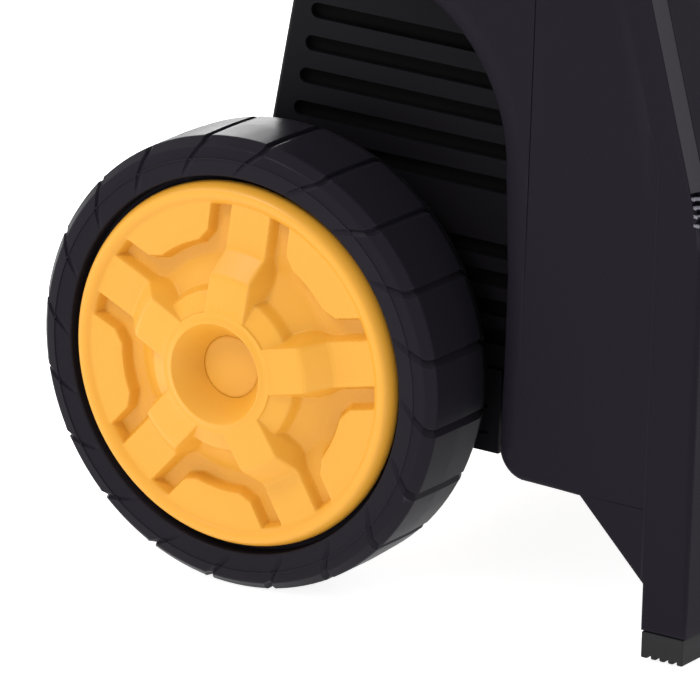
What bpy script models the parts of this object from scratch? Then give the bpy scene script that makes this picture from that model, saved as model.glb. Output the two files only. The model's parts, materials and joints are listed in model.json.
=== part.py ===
"""Upright electric pressure washer: two wheels behind, two legs in front, telescopic handle.

World frame: +Z up, floor at z = 0, front towards -Y, wheels at the back, origin in the middle
of the footprint. Sizes below are in millimetres and become metres in solid().
"""

from math import cos, pi, radians, sin, sqrt, tan

import bmesh
import bpy
from mathutils import Matrix, Vector

MM = 0.001
GAP = 0.3  # between pieces that touch

# Wheels
TYRE_RADIUS = 100.0
AXLE_Y = 65.0
RIM_X = 160.0  # outer edge of the rim
RIM_RADIUS = 82.0
HUB_OUT = 15.0  # hub stands out of the rim
HUB_LENGTH = 55.5  # inward from the rim edge
AXLE_RADIUS = 6.0
SPOKES = 5
SPOKE_HALF_WIDTH = 12.5
FIRST_SPOKE = 5.5  # degrees from straight up, towards the front

# Body
BODY_HALF = 132.0
SHELL_INNER = 99.0
WALL = 3.0
COVER_HALF = 98.0
COVER_WALL = 2.5
COVER_BOTTOM = 102.4
CHASSIS_HALF = 100.0
CHASSIS_BOTTOM = 64.0
CHASSIS_TOP = 102.0
CHASSIS_FRONT = -33.6
TONGUE_HALF = 88.0
TONGUE_BOTTOM = 74.0
BODY_BOTTOM = 67.5
BODY_TOP = 466.0
CREASE_Y = -127.5  # back edge of the leg
FRONT_Y = -150.0
COLUMN_REAR = -48.0
SLOPE_START = 207.0  # the front leans back above this height
SLOPE_END = 326.0
SLOPE = 16.0  # degrees
UPPER_SLOPE = 8.0
FACE_RECESS = 6.0  # front panel behind the shells' front edge
REAR_FOOT_Y = 105.0  # rear cover at its bottom
REAR_LEAN = 9.0
FOOT_HEIGHT = 12.0

# Cooling slots in the rear cover
SLOT_PITCH = 15.2
SLOT_HEIGHT = 7.0
UPPER_SLOTS = 5
LOWER_SLOTS = 4
FIRST_UPPER_SLOT = 184.6
FIRST_LOWER_SLOT = 116.0
LOWER_PITCH = 13.0

# Motor and pump, on one upright shaft
SHAFT_Y = -25.0
MOTOR_RADIUS = 56.0
PISTONS = 3
PISTON_CIRCLE = 20.0
PISTON_RADIUS = 6.0
PUMP_TOP = 128.0

# Handle
HANDLE_X = 82.0
HANDLE_Y = 30.0
TUBE_RADIUS = 11.0
TUBE_BOTTOM = 125.0
TUBE_TOP = 575.0
GRIP_Z = 585.0
GRIP_RADIUS = 15.0

# Controls and water connections
KNOB_Z = 376.0
CAP_Z = 262.0
PORT_X = 45.0
PORT_Z = 105.0

BLACK = ((0.020, 0.019, 0.023), 0.45, 0.0)
SOFT_BLACK = ((0.015, 0.015, 0.018), 0.62, 0.0)
RUBBER = ((0.018, 0.017, 0.020), 0.72, 0.0)
YELLOW = ((0.93, 0.42, 0.045), 0.42, 0.0)
STEEL = ((0.55, 0.56, 0.58), 0.30, 1.0)
CAST = ((0.48, 0.49, 0.50), 0.45, 1.0)
BRASS = ((0.70, 0.50, 0.22), 0.30, 1.0)
COPPER = ((0.62, 0.28, 0.12), 0.38, 1.0)
GREY = ((0.22, 0.22, 0.24), 0.50, 0.0)
CLEAR = ((0.55, 0.58, 0.60), 0.25, 0.0)


def clear_scene():
    for obj in list(bpy.data.objects):
        bpy.data.objects.remove(obj, do_unlink=True)


def paint(obj, look):
    colour, roughness, metallic = look
    material = bpy.data.materials.new(obj.name + "_material")
    material.use_nodes = True
    shader = material.node_tree.nodes["Principled BSDF"]
    shader.inputs["Base Color"].default_value = (*colour, 1.0)
    shader.inputs["Roughness"].default_value = roughness
    shader.inputs["Metallic"].default_value = metallic
    obj.data.materials.append(material)


def solid(name, rings, look, at=(0, 0, 0), turn=(0, 0, 0), loop=False):
    """Skins rings of equally many points (mm) into a closed mesh; loop joins the last ring to the first."""
    mesh_maker = bmesh.new()
    grid = [[mesh_maker.verts.new(Vector(p) * MM) for p in ring] for ring in rings]
    pairs = list(zip(grid, grid[1:]))
    if loop:
        pairs.append((grid[-1], grid[0]))
    else:
        mesh_maker.faces.new(grid[0])
        mesh_maker.faces.new(grid[-1])
    for first, second in pairs:
        for i in range(len(first)):
            j = (i + 1) % len(first)
            mesh_maker.faces.new((first[i], first[j], second[j], second[i]))
    bmesh.ops.recalc_face_normals(mesh_maker, faces=mesh_maker.faces)
    mesh = bpy.data.meshes.new(name)
    mesh_maker.to_mesh(mesh)
    mesh_maker.free()
    mesh.shade_smooth()
    mesh.set_sharp_from_angle(angle=radians(35))
    obj = bpy.data.objects.new(name, mesh)
    bpy.context.collection.objects.link(obj)
    obj.location = Vector(at) * MM
    obj.rotation_euler = [radians(a) for a in turn]
    paint(obj, look)
    return obj


def circle(radius, height, steps, start=0.0, centre=(0, 0)):
    angles = [start + 2 * pi * i / steps for i in range(steps)]
    return [(centre[0] + radius * cos(a), centre[1] + radius * sin(a), height) for a in angles]


def turned(name, profile, look, at=(0, 0, 0), turn=(0, 0, 0), steps=16, bore=False):
    """Turned about local Z from (radius, height) points; bore closes the profile into a ring."""
    return solid(name, [circle(r, h, steps) for r, h in profile], look, at, turn, loop=bore)


def ring(name, outer, inner, low, high, look, at=(0, 0, 0), turn=(0, 0, 0), steps=16):
    profile = [(inner, low), (outer, low), (outer, high), (inner, high)]
    return turned(name, profile, look, at, turn, steps, bore=True)


def along(axis, across, height):
    """A point from its height along an axis and its two other coordinates, in X, Y, Z order."""
    point = list(across)
    point.insert("XYZ".index(axis), height)
    return point


def prism(name, outline, axis, low, high, look, at=(0, 0, 0), turn=(0, 0, 0)):
    rings = [[along(axis, p, h) for p in outline] for h in (low, high)]
    return solid(name, rings, look, at, turn)


def box(name, x, y, z, look, at=(0, 0, 0), turn=(0, 0, 0)):
    outline = [(x[0], y[0]), (x[1], y[0]), (x[1], y[1]), (x[0], y[1])]
    return prism(name, outline, "Z", z[0], z[1], look, at, turn)


def rounded_rectangle(x, y, radius, steps=4):
    corners = [(x[1], y[1], 0), (x[0], y[1], 90), (x[0], y[0], 180), (x[1], y[0], 270)]
    points = []
    for cx, cy, start in corners:
        mx = cx - radius if cx == x[1] else cx + radius
        my = cy - radius if cy == y[1] else cy + radius
        points += arc(mx, my, radius, start, start + 90, steps)
    return points


def arc(cx, cy, radius, start, end, steps):
    angles = [radians(start + (end - start) * i / steps) for i in range(steps + 1)]
    return [(cx + radius * cos(a), cy + radius * sin(a)) for a in angles]


def inset(points, distances):
    """Moves each point of a closed outline inwards, square to the outline at that point."""
    count = len(points)
    area = sum(
        points[i][0] * points[(i + 1) % count][1] - points[(i + 1) % count][0] * points[i][1]
        for i in range(count)
    )
    side = 1 if area > 0 else -1
    moved = []
    for i, (point, distance) in enumerate(zip(points, distances)):
        before = points[i - 1]
        after = points[(i + 1) % count]
        first = Vector((point[0] - before[0], point[1] - before[1])).normalized()
        second = Vector((after[0] - point[0], after[1] - point[1])).normalized()
        normal = Vector((-first.y - second.y, first.x + second.x)).normalized() * side
        stretch = 1 / max(0.5, normal.dot(Vector((-first.y, first.x)) * side))
        moved.append((point[0] + normal.x * distance * stretch, point[1] + normal.y * distance * stretch))
    return moved


def helper(obj):
    obj.hide_render = True
    obj.display_type = "WIRE"
    return obj


def combine(obj, others, operation):
    for other in others:
        modifier = obj.modifiers.new(operation.lower(), "BOOLEAN")
        modifier.operation = operation
        modifier.solver = "EXACT"
        modifier.object = helper(other)
    return obj


def cut(obj, *cutters):
    return combine(obj, cutters, "DIFFERENCE")


def join(obj, *others):
    return combine(obj, others, "UNION")


def soften(obj, width, segments=2, angle=30):
    modifier = obj.modifiers.new("soften", "BEVEL")
    modifier.width = width * MM
    modifier.segments = segments
    modifier.limit_method = "ANGLE"
    modifier.angle_limit = radians(angle)
    return obj


def attach(children, parent):
    """Hangs pieces on the one that carries them, where they already are."""
    bpy.context.view_layer.update()
    for child in children:
        child.parent = parent
        child.matrix_parent_inverse = parent.matrix_world.inverted()


def merge_meshes(name, pieces):
    """One helper mesh out of several separate ones, placed in the world."""
    bpy.context.view_layer.update()
    mesh_maker = bmesh.new()
    for piece in pieces:
        part = piece.data.copy()
        part.transform(piece.matrix_world)
        mesh_maker.from_mesh(part)
        bpy.data.objects.remove(piece, do_unlink=True)
    mesh = bpy.data.meshes.new(name)
    mesh_maker.to_mesh(mesh)
    mesh_maker.free()
    obj = bpy.data.objects.new(name, mesh)
    bpy.context.collection.objects.link(obj)
    return helper(obj)


def swept_tube(name, route, radius, look, sides=8):
    """A round bar or pipe along points (mm), skinned ring by ring."""
    points = [Vector(p) for p in route]
    rings = []
    side = Vector((0, 0, 1)).cross(points[1] - points[0])
    if side.length < 1e-6:
        side = Vector((1, 0, 0))
    for i, point in enumerate(points):
        before = points[max(i - 1, 0)]
        after = points[min(i + 1, len(points) - 1)]
        forward = (after - before).normalized()
        side = (side - forward * side.dot(forward)).normalized()
        up = forward.cross(side)
        turn_of = [2 * pi * k / sides for k in range(sides)]
        rings.append([point + (side * cos(a) + up * sin(a)) * radius for a in turn_of])
    return solid(name, rings, look)


def bend(points, steps=5):
    """A smooth route through a few points, as a Catmull-Rom curve."""
    knots = [Vector(p) for p in points]
    knots = [knots[0] * 2 - knots[1], *knots, knots[-1] * 2 - knots[-2]]
    route = []
    for a, b, c, d in zip(knots, knots[1:], knots[2:], knots[3:]):
        for k in range(steps):
            t = k / steps
            square = (2 * a - 5 * b + 4 * c - d) * t**2
            cube = (3 * b - a - 3 * c + d) * t**3
            route.append((2 * b + (c - a) * t + square + cube) / 2)
    return [*route, knots[-2]]


# ---------------------------------------------------------------- wheels


def pocket_outline(angle):
    """One U-shaped groove between two spokes, around a raised pad, in the plane of the wheel."""
    side_groove = 9.7
    hub_side = 34.5
    pad_side = 50.0
    outer_radius = 73.0
    half = pi / SPOKES

    def edge(offset, reach):
        if reach == "rim":
            t = sqrt(outer_radius**2 - offset**2)
        else:
            t = (reach - offset * sin(half)) / cos(half)
        return (t * cos(half) + offset * sin(half), t * sin(half) - offset * cos(half))

    outer = [edge(SPOKE_HALF_WIDTH, "rim"), edge(SPOKE_HALF_WIDTH, hub_side)]
    inner = [edge(SPOKE_HALF_WIDTH + side_groove, pad_side), edge(SPOKE_HALF_WIDTH + side_groove, "rim")]
    near_side = outer + [(u, -v) for u, v in reversed(outer)]
    far_side = [(u, -v) for u, v in reversed(inner)] + inner
    local = near_side + far_side
    return [(u * cos(angle) - v * sin(angle), u * sin(angle) + v * cos(angle)) for u, v in local]


def wheel(side, sign):
    """Rim, tyre, hub cap, push nut and washer; local Z runs inward from the rim's outer edge."""
    at = (sign * RIM_X, AXLE_Y, TYRE_RADIUS)
    turn = (0, -90 * sign, 0)
    bore = AXLE_RADIUS + GAP
    rim_profile = [
        (bore, HUB_LENGTH),
        (bore, 8),
        (12, 8),
        (12, -0.6),
        (14, -0.6),
        (14, -3),
        (21.5, -14.3),
        (24, -HUB_OUT),
        (43, -13),
        (52, -3),
        (71, -2),
        (76, -5),
        (79, -4.5),
        (RIM_RADIUS, 0),
        (RIM_RADIUS, 4),
        (79.5, 6.5),
        (79.5, 51),
        (75.5, 51),
        (74.5, 9),
        (60, 8.5),
        (20, 9),
        (16, HUB_LENGTH),
    ]
    rim = turned("wheel_rim_" + side, rim_profile, YELLOW, at, turn, steps=32, bore=True)
    grooves = []
    for k in range(SPOKES):
        from_top = radians(FIRST_SPOKE + (k + 0.5) * 360 / SPOKES)
        angle = pi + from_top if sign < 0 else -from_top
        groove = prism("groove", pocket_outline(angle), "Z", -30, 3.5, YELLOW, at, turn)
        grooves.append(groove)
    cut(rim, merge_meshes("rim_grooves_" + side, grooves))
    tyre_profile = [
        (79.8, 50),
        (79.8, 7),
        (84.6, 5),
        (84.8, -1.5),
        (90, -3.2),
        (98, 1),
        (TYRE_RADIUS, 7),
        (TYRE_RADIUS, 46),
        (94, 54.5),
        (84, 55.5),
    ]
    tyre = turned("tyre_" + side, tyre_profile, RUBBER, at, turn, steps=32, bore=True)
    cap = turned("hub_cap_" + side, [(13.6, -1.0), (13.6, -2.4), (12.6, -3.2)], YELLOW, at, turn, steps=16)
    nut_profile = [(bore, 3.6), (9.5, 3.6), (10.4, 5.2), (10.4, 6.4), (bore, 6.4)]
    nut = turned("push_nut_" + side, nut_profile, STEEL, at, turn, steps=12, bore=True)
    washer_low = HUB_LENGTH + GAP
    washer_high = RIM_X - CHASSIS_HALF - GAP
    washer = ring("wheel_washer_" + side, 12, bore, washer_low, washer_high, GREY, at, turn, steps=12)
    attach([tyre, cap], rim)
    return rim, nut, washer


def make_running_gear():
    end = RIM_X - 2
    axle_profile = [(AXLE_RADIUS - 1, -end), (AXLE_RADIUS, 1 - end), (AXLE_RADIUS, end - 1), (AXLE_RADIUS - 1, end)]
    axle = turned("axle", axle_profile, STEEL, (0, AXLE_Y, TYRE_RADIUS), (0, 90, 0), steps=16)
    for side, sign in (("left", -1), ("right", 1)):
        attach(wheel(side, sign), axle)


# ---------------------------------------------------------------- body


def front_line(recess=0.0):
    """The front's side view: upright, leaning back, then nearly upright again, from the bottom to the top."""
    y = FRONT_Y + recess
    lean = tan(radians(SLOPE)) * (SLOPE_END - SLOPE_START)
    upper = tan(radians(UPPER_SLOPE)) * (BODY_TOP - SLOPE_END)
    return [(y, SLOPE_START), (y + lean, SLOPE_END), (y + lean + upper, BODY_TOP)]


def rear_y(z):
    """Back face of the rear cover at height z."""
    return REAR_FOOT_Y - (z - COVER_BOTTOM) * tan(radians(REAR_LEAN))


def shell_outline():
    """Side view of a side shell, (y, z) with the rounding of its outer edge: leg, front, top, wheel arch, column."""
    knee, waist, crown = front_line()
    arch_y = 35.0
    arch_radius = arch_y - COLUMN_REAR - 5
    arch_low = 200.0
    arch_top = arch_low + arch_radius
    tail_y = rear_y(arch_top + 15) - 3
    head_y = rear_y(BODY_TOP - 30) - 3
    front_edge = 5.0
    rear_edge = 20.0
    leg_edge = 2.0
    points = [(FRONT_Y, FOOT_HEIGHT + GAP, leg_edge), (FRONT_Y, 110, 3.0), (knee[0], knee[1] - 12, 3.0)]
    points += [(FRONT_Y + 2.2, knee[1] + 2, 4.0), (waist[0] - 3, waist[1] - 8, front_edge)]
    points += [(waist[0] + 1, waist[1] + 6, front_edge), (crown[0] - 4, crown[1] - 30, front_edge)]
    points += [(y, z, 6.0) for y, z in arc(crown[0] + 22, BODY_TOP - 24, 24, 160, 90, 3)]
    points += [(y, z, 6.0) for y, z in arc(head_y - 26, BODY_TOP - 26, 26, 90, 10, 4)]
    points += [(tail_y, arch_top + 18, 10.0)]
    points += [(y, z, 10.0) for y, z in arc(tail_y - 14, arch_top + 14, 14, -20, -90, 3)]
    points += [(arch_y + 8, arch_top, 14.0)]
    points += [(y, z, rear_edge) for y, z in arc(arch_y, arch_low, arch_radius, 90, 180, 8)]
    points += [(COLUMN_REAR, 160, rear_edge), (COLUMN_REAR, 120, rear_edge)]
    corner = arc(COLUMN_REAR - 24, BODY_BOTTOM + 24, 24, 0, -90, 5)
    radii = [rear_edge - i * 3.2 for i in range(6)]
    points += [(y, z, r) for (y, z), r in zip(corner, radii)]
    points += [(-94.5, BODY_BOTTOM, 3.0), (CREASE_Y + 0.5, 34, leg_edge), (CREASE_Y, 32, leg_edge)]
    points += [(CREASE_Y, FOOT_HEIGHT + GAP, leg_edge)]
    return points


def edge_round(radius, depth):
    """How far a rounded edge has come in at this depth under the outer face."""
    if depth >= radius:
        return 0.0
    return radius - sqrt(radius**2 - (radius - depth) ** 2)


def side_shell(side, sign):
    outline = shell_outline()
    flat = [(y, z) for y, z, _ in outline]
    radii = [r for _, _, r in outline]
    width = BODY_HALF - SHELL_INNER
    rings = []
    for depth in (0, 2, 8, 20, width):
        steps = inset(flat, [edge_round(r, depth) for r in radii])
        rings.append([(sign * (BODY_HALF - depth), y, z) for y, z in steps])
    for depth in (width, 20, 9, WALL):
        inner = [max(r - WALL, 0.0) for r in radii]
        steps = inset(flat, [WALL + edge_round(r, depth - WALL) for r in inner])
        rings.append([(sign * (BODY_HALF - depth), y, z) for y, z in steps])
    return solid("side_shell_" + side, rings, BLACK)


def make_front_panel():
    """Sheet between the side shells, with an arch between the legs and holes for knob, filler and hose ports."""
    half = SHELL_INNER - GAP - 0.3
    arch_half = 80.0
    arch_top = 60.0
    face = front_line(FACE_RECESS)
    back = front_line(FACE_RECESS + WALL)
    bottom = FOOT_HEIGHT + GAP
    top = BODY_TOP - 8
    lean_top = (face[1][0] + (top - SLOPE_END) * tan(radians(UPPER_SLOPE)), top)
    lean_back = (lean_top[0] + WALL, top)
    front = [(face[0][0], bottom), face[0], face[1], lean_top]
    rear = [(back[0][0], bottom), (back[0][0], SLOPE_START - 1), (back[1][0] + 0.5, SLOPE_END), lean_back]
    panel = prism("front_panel", front + rear[::-1], "X", -half, half, SOFT_BLACK)
    arch = box("front_arch", (-arch_half, arch_half), (FRONT_Y - 5, CREASE_Y), (-5, arch_top), SOFT_BLACK)
    cut(panel, arch)
    inner_walls = []
    for sign in (-1, 1):
        xs = sorted((sign * (arch_half + 0.01), sign * (arch_half + WALL)))
        wall = box("leg_wall", xs, (face[0][0] + 1, CREASE_Y), (bottom, arch_top + 8), SOFT_BLACK)
        inner_walls.append(wall)
    join(panel, merge_meshes("leg_walls", inner_walls))
    holes = [
        turned("knob_hole", [(9, -20), (9, 20)], SOFT_BLACK, knob_place(), (knob_turn(), 0, 0), steps=20),
        turned("cap_hole", [(19, -20), (19, 20)], SOFT_BLACK, cap_place(), (cap_turn(), 0, 0), steps=24),
    ]
    for sign in (-1, 1):
        holes.append(
            turned("port_hole", [(13, -20), (13, 20)], SOFT_BLACK, (sign * PORT_X, -141, PORT_Z), (90, 0, 0), steps=20)
        )
    cut(panel, merge_meshes("front_holes", holes))
    return panel


def knob_place():
    face = front_line(FACE_RECESS)
    return (0, face[1][0] + (KNOB_Z - SLOPE_END) * tan(radians(UPPER_SLOPE)), KNOB_Z)


def knob_turn():
    return 90 - UPPER_SLOPE


def cap_place():
    face = front_line(FACE_RECESS)
    return (0, face[0][0] + (CAP_Z - SLOPE_START) * tan(radians(SLOPE)), CAP_Z)


def cap_turn():
    return 90 - SLOPE


def make_rear_cover():
    """Leaning back wall and two side walls, with rows of slots behind each wheel."""
    top = BODY_TOP - 1
    front_low = -95.0
    shoulder = 300.0
    inner_y = 18.0

    def side_view(wall, past):
        return [
            (REAR_FOOT_Y - wall, COVER_BOTTOM - past),
            (rear_y(top) - wall, top + past),
            (inner_y - past, top + past),
            (inner_y - past, shoulder + past),
            (front_low - past, shoulder + past),
            (front_low - past, COVER_BOTTOM - past),
        ]

    cover = prism("rear_cover", side_view(0, 0), "X", -COVER_HALF, COVER_HALF, BLACK)
    inside = COVER_HALF - COVER_WALL
    room = prism("cover_room", side_view(COVER_WALL, 5), "X", -inside, inside, BLACK)
    cut(cover, room)
    slots = []
    heights = [FIRST_UPPER_SLOT + i * SLOT_PITCH for i in range(UPPER_SLOTS)]
    heights += [FIRST_LOWER_SLOT + i * LOWER_PITCH for i in range(LOWER_SLOTS)]
    radius = SLOT_HEIGHT / 2
    for z in heights:
        outline = arc(rear_y(z) - 11 - radius, z, radius, -90, 90, 4) + arc(-80, z, radius, 90, 270, 4)
        slots.append(prism("slot", outline, "X", -COVER_HALF - 9, COVER_HALF + 9, BLACK))
    axle_room = axle_bore("axle_room", AXLE_RADIUS + 1)
    gland_room = turned("gland_room", [(8.5, -20), (8.5, 20)], BLACK, gland_place(), (90, 0, 0), steps=16)
    cut(cover, merge_meshes("cover_slots", slots), axle_room, gland_room)
    return cover


def axle_bore(name, radius):
    return turned(name, [(radius, -130), (radius, 130)], BLACK, (0, AXLE_Y, TYRE_RADIUS), (0, 90, 0))


def gland_place():
    return (55.0, rear_y(150.0), 150.0)


def make_chassis():
    """Tray under motor and pump: wide between the wheels, narrow in front of them."""
    outline = [
        (-CHASSIS_HALF, CHASSIS_FRONT),
        (-TONGUE_HALF, CHASSIS_FRONT),
        (-TONGUE_HALF, -139),
        (TONGUE_HALF, -139),
        (TONGUE_HALF, CHASSIS_FRONT),
        (CHASSIS_HALF, CHASSIS_FRONT),
        (CHASSIS_HALF, REAR_FOOT_Y + 3),
        (-CHASSIS_HALF, REAR_FOOT_Y + 3),
    ]
    chassis = prism("chassis", outline, "Z", CHASSIS_BOTTOM, CHASSIS_TOP, BLACK)
    soften(chassis, 3, 1)
    inner = (-CHASSIS_HALF + WALL, CHASSIS_HALF - WALL)
    rear_room = box("rear_room", inner, (CHASSIS_FRONT + WALL, REAR_FOOT_Y), (CHASSIS_BOTTOM + 4, 120), BLACK)
    tongue = (-TONGUE_HALF + WALL, TONGUE_HALF - WALL)
    front_room = box("front_room", tongue, (-139 + WALL, CHASSIS_FRONT + 5), (TONGUE_BOTTOM + 4, 120), BLACK)
    front_step = box("front_step", (-95, 95), (-150, CHASSIS_FRONT - 2), (50, TONGUE_BOTTOM), BLACK)
    port_room = box("port_room", (-70, 70), (-150, -130), (85, 120), BLACK)
    cut(chassis, rear_room, front_room, front_step, port_room)
    cradles = []
    for x in (-70, 70):
        cradles.append(box("cradle", (x - 3, x + 3), (AXLE_Y - 14, AXLE_Y + 14), (CHASSIS_BOTTOM + 2, 101), BLACK))
    join(chassis, merge_meshes("axle_cradles", cradles))
    axle_room = axle_bore("axle_slot", AXLE_RADIUS + GAP)
    seat = turned("pump_seat", [(30, 66), (30, 81)], BLACK, (0, SHAFT_Y, 0), steps=20)
    join(chassis, seat)
    cut(chassis, axle_room)
    return chassis


def make_top_cover():
    """Cap over both shells, with two sleeves' holes for the handle."""
    plan_y = (front_line()[2][0] + 4, 41.0)
    base = BODY_TOP + GAP
    layers = [(0.0, base), (0.0, base + 18), (2.5, base + 25), (9.0, base + 30), (16.0, base + 31.5)]
    plan = rounded_rectangle((-BODY_HALF + 1, BODY_HALF - 1), plan_y, 20)
    rings = [[(x, y, z) for x, y in inset(plan, [d] * len(plan))] for d, z in layers]
    cover = solid("top_cover", rings, BLACK)
    room = prism("top_room", inset(plan, [WALL + 8] * len(plan)), "Z", base - 5, base + 24, BLACK)
    holes = [
        turned("tube_hole", [(15.5, 0), (15.5, 60)], BLACK, (sign * HANDLE_X, HANDLE_Y, base - 10), steps=24)
        for sign in (-1, 1)
    ]
    cut(cover, room, merge_meshes("top_holes", holes))
    return cover


def make_feet():
    for side, sign in (("left", -1), ("right", 1)):
        x = sorted((sign * 83.0, sign * (BODY_HALF - 1)))
        foot = box("foot_" + side, x, (FRONT_Y + 1, CREASE_Y - 0.5), (0, FOOT_HEIGHT), RUBBER)
        soften(foot, 2, 1)


# ---------------------------------------------------------------- handle


def make_handle():
    length = TUBE_TOP - TUBE_BOTTOM
    bore = TUBE_RADIUS - 1.5
    tubes = []
    for side, sign in (("left", -1), ("right", 1)):
        at = (sign * HANDLE_X, HANDLE_Y, TUBE_BOTTOM)
        tubes.append(ring("handle_tube_" + side, TUBE_RADIUS, bore, 0, length, STEEL, at))
        low = BODY_TOP + 1
        sleeve = [
            (TUBE_RADIUS + GAP, low),
            (15, low),
            (15, BODY_TOP + 32.2),
            (19, BODY_TOP + 32.2),
            (19, BODY_TOP + 35),
            (17, BODY_TOP + 37),
            (TUBE_RADIUS + GAP, BODY_TOP + 37),
        ]
        turned("handle_sleeve_" + side, sleeve, SOFT_BLACK, (sign * HANDLE_X, HANDLE_Y, 0), bore=True)
    end = HANDLE_X + GRIP_RADIUS + 3
    bar = [(6, -end), (11, 2 - end), (GRIP_RADIUS, 8 - end), (GRIP_RADIUS, end - 8), (11, end - 2), (6, end)]
    grip = turned("handle_grip", bar, SOFT_BLACK, (0, HANDLE_Y, GRIP_Z), (0, 90, 0))
    for sign in (-1, 1):
        at = (sign * HANDLE_X, HANDLE_Y, 0)
        join(grip, turned("socket", [(14.5, 545), (14.5, GRIP_Z)], SOFT_BLACK, at))
    bores = []
    for sign in (-1, 1):
        at = (sign * HANDLE_X, HANDLE_Y, 0)
        profile = [(TUBE_RADIUS + GAP, 540), (TUBE_RADIUS + GAP, TUBE_TOP + GAP)]
        bores.append(turned("bore", profile, SOFT_BLACK, at))
    pocket = box("button_pocket", (-21, 21), (-8.5, 8.5), (2, 25), SOFT_BLACK, (0, HANDLE_Y, GRIP_Z))
    cut(grip, merge_meshes("grip_bores", [*bores, pocket]))
    outline = rounded_rectangle((-20.5, 20.5), (-8, 8), 5, 3)
    rings = [[(x, y, z) for x, y in inset(outline, [d] * len(outline))] for d, z in ((0, 7.5), (0, 15), (1.5, 16.2))]
    button = solid("handle_button", rings, YELLOW, (0, HANDLE_Y, GRIP_Z))
    attach([*tubes, button], grip)


# ---------------------------------------------------------------- motor and pump


def make_motor():
    at = (0, SHAFT_Y, 0)
    ring("motor_stator", MOTOR_RADIUS - 2, 33, 206, 284, COPPER, at, steps=20)
    bell_profile = [(17, 286), (MOTOR_RADIUS, 284.4), (MOTOR_RADIUS, 300), (40, 303), (17, 304)]
    turned("motor_end_bell", bell_profile, CAST, at, steps=20, bore=True)
    rotor_profile = [(6, 178), (6, 208), (32, 208.1), (32, 280), (7, 280.1), (7, 286), (5.5, 286.1), (5.5, 332)]
    rotor = turned("motor_rotor", rotor_profile, STEEL, at, steps=20)
    ring("lower_bearing", 20, 6 + GAP, 188, 199, STEEL, at)
    ring("upper_bearing", 16.5, 5.5 + GAP, 290, 300, STEEL, at)
    shroud_profile = [(52, 306), (56, 306), (56, 330), (38, 334), (36, 331.5), (52, 328)]
    turned("fan_shroud", shroud_profile, SOFT_BLACK, at, steps=20, bore=True)
    fan = make_fan()
    swash = make_swash_plate()
    attach([swash, fan], rotor)


def make_fan():
    fan = ring("cooling_fan", 14, 5.5 + GAP, 309, 325, SOFT_BLACK, (0, SHAFT_Y, 0), steps=20)
    blades = []
    for k in range(7):
        blade = box("blade", (12, 48), (-1.2, 1.2), (310, 324), SOFT_BLACK, (0, SHAFT_Y, 0), (0, 0, k * 360 / 7))
        blades.append(blade)
    return join(fan, merge_meshes("fan_blades", blades))


def make_swash_plate():
    """Disc on the shaft's lower end whose underside is tilted, so that it pushes the pistons in turn."""
    radius = 32.0
    throw = 3.0
    steps = 24
    low = [(x, y, 165 + throw * x / PISTON_CIRCLE) for x, y, _ in circle(radius, 0, steps)]
    rings = [low, circle(radius, 176, steps), circle(16, 177.5, steps), circle(13, 184, steps)]
    plate = solid("swash_plate", rings, STEEL, (0, SHAFT_Y, 0))
    bore = turned("swash_bore", [(6 + GAP, 177.6), (6 + GAP, 190)], STEEL, (0, SHAFT_Y, 0), steps=16)
    return cut(plate, bore)


def make_pump():
    at = (0, SHAFT_Y, 0)
    outline = rounded_rectangle((-44, 44), (-36, 36), 10, 3)
    head = prism("pump_head", outline, "Z", 81 + GAP, PUMP_TOP, CAST, at)
    bores = []
    for k in range(PISTONS):
        x, y = piston_place(k)
        profile = [(PISTON_RADIUS + GAP, 96), (PISTON_RADIUS + GAP, 140)]
        bores.append(turned("cylinder", profile, CAST, (x, y, 0)))
    for sign, radius in ((-1, 8.0), (1, 6.0)):
        port = turned("port", [(radius, 25), (radius, 50)], CAST, (sign * 26, SHAFT_Y, PORT_Z), (90, 0, 0), steps=12)
        bores.append(port)
    cut(head, merge_meshes("cylinders", bores))
    case_profile = [
        (46, PUMP_TOP + GAP),
        (50, PUMP_TOP + GAP),
        (50, 196),
        (MOTOR_RADIUS, 199),
        (MOTOR_RADIUS, 205.5),
        (24, 205.5),
        (24, 200.5),
        (8, 200.5),
        (8, 199.4),
        (20.4, 199.4),
        (20.4, 187),
        (24, 187),
        (24, 195),
        (46, 190),
    ]
    turned("crankcase", case_profile, CAST, at, steps=20, bore=True)
    for k in range(PISTONS):
        x, y = piston_place(k)
        profile = [(PISTON_RADIUS, 102), (PISTON_RADIUS, 147), (9.5, 147.1), (9.5, 150), (7, 153)]
        turned(f"piston_{k + 1}", profile, STEEL, (x, y, 0), steps=16)
        make_spring(k, x, y)
    valve = [(10, 80), (13, 82), (13, 120), (9, 122), (9, 140), (5, 141), (5, 148)]
    turned("unloader_valve", valve, BRASS, (62, SHAFT_Y - 4, CHASSIS_BOTTOM - 60), steps=16)


def piston_place(k):
    angle = 2 * pi * k / PISTONS + pi / 2
    return PISTON_CIRCLE * cos(angle), SHAFT_Y + PISTON_CIRCLE * sin(angle)


def make_spring(k, x, y):
    low = PUMP_TOP + 1.4
    high = 145.6
    turns = 3.5
    count = 21
    route = []
    for i in range(count + 1):
        angle = 2 * pi * turns * i / count
        route.append((x + 8.0 * cos(angle), y + 8.0 * sin(angle), low + (high - low) * i / count))
    swept_tube(f"piston_spring_{k + 1}", route, 0.9, STEEL, sides=4)


# ---------------------------------------------------------------- water


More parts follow.
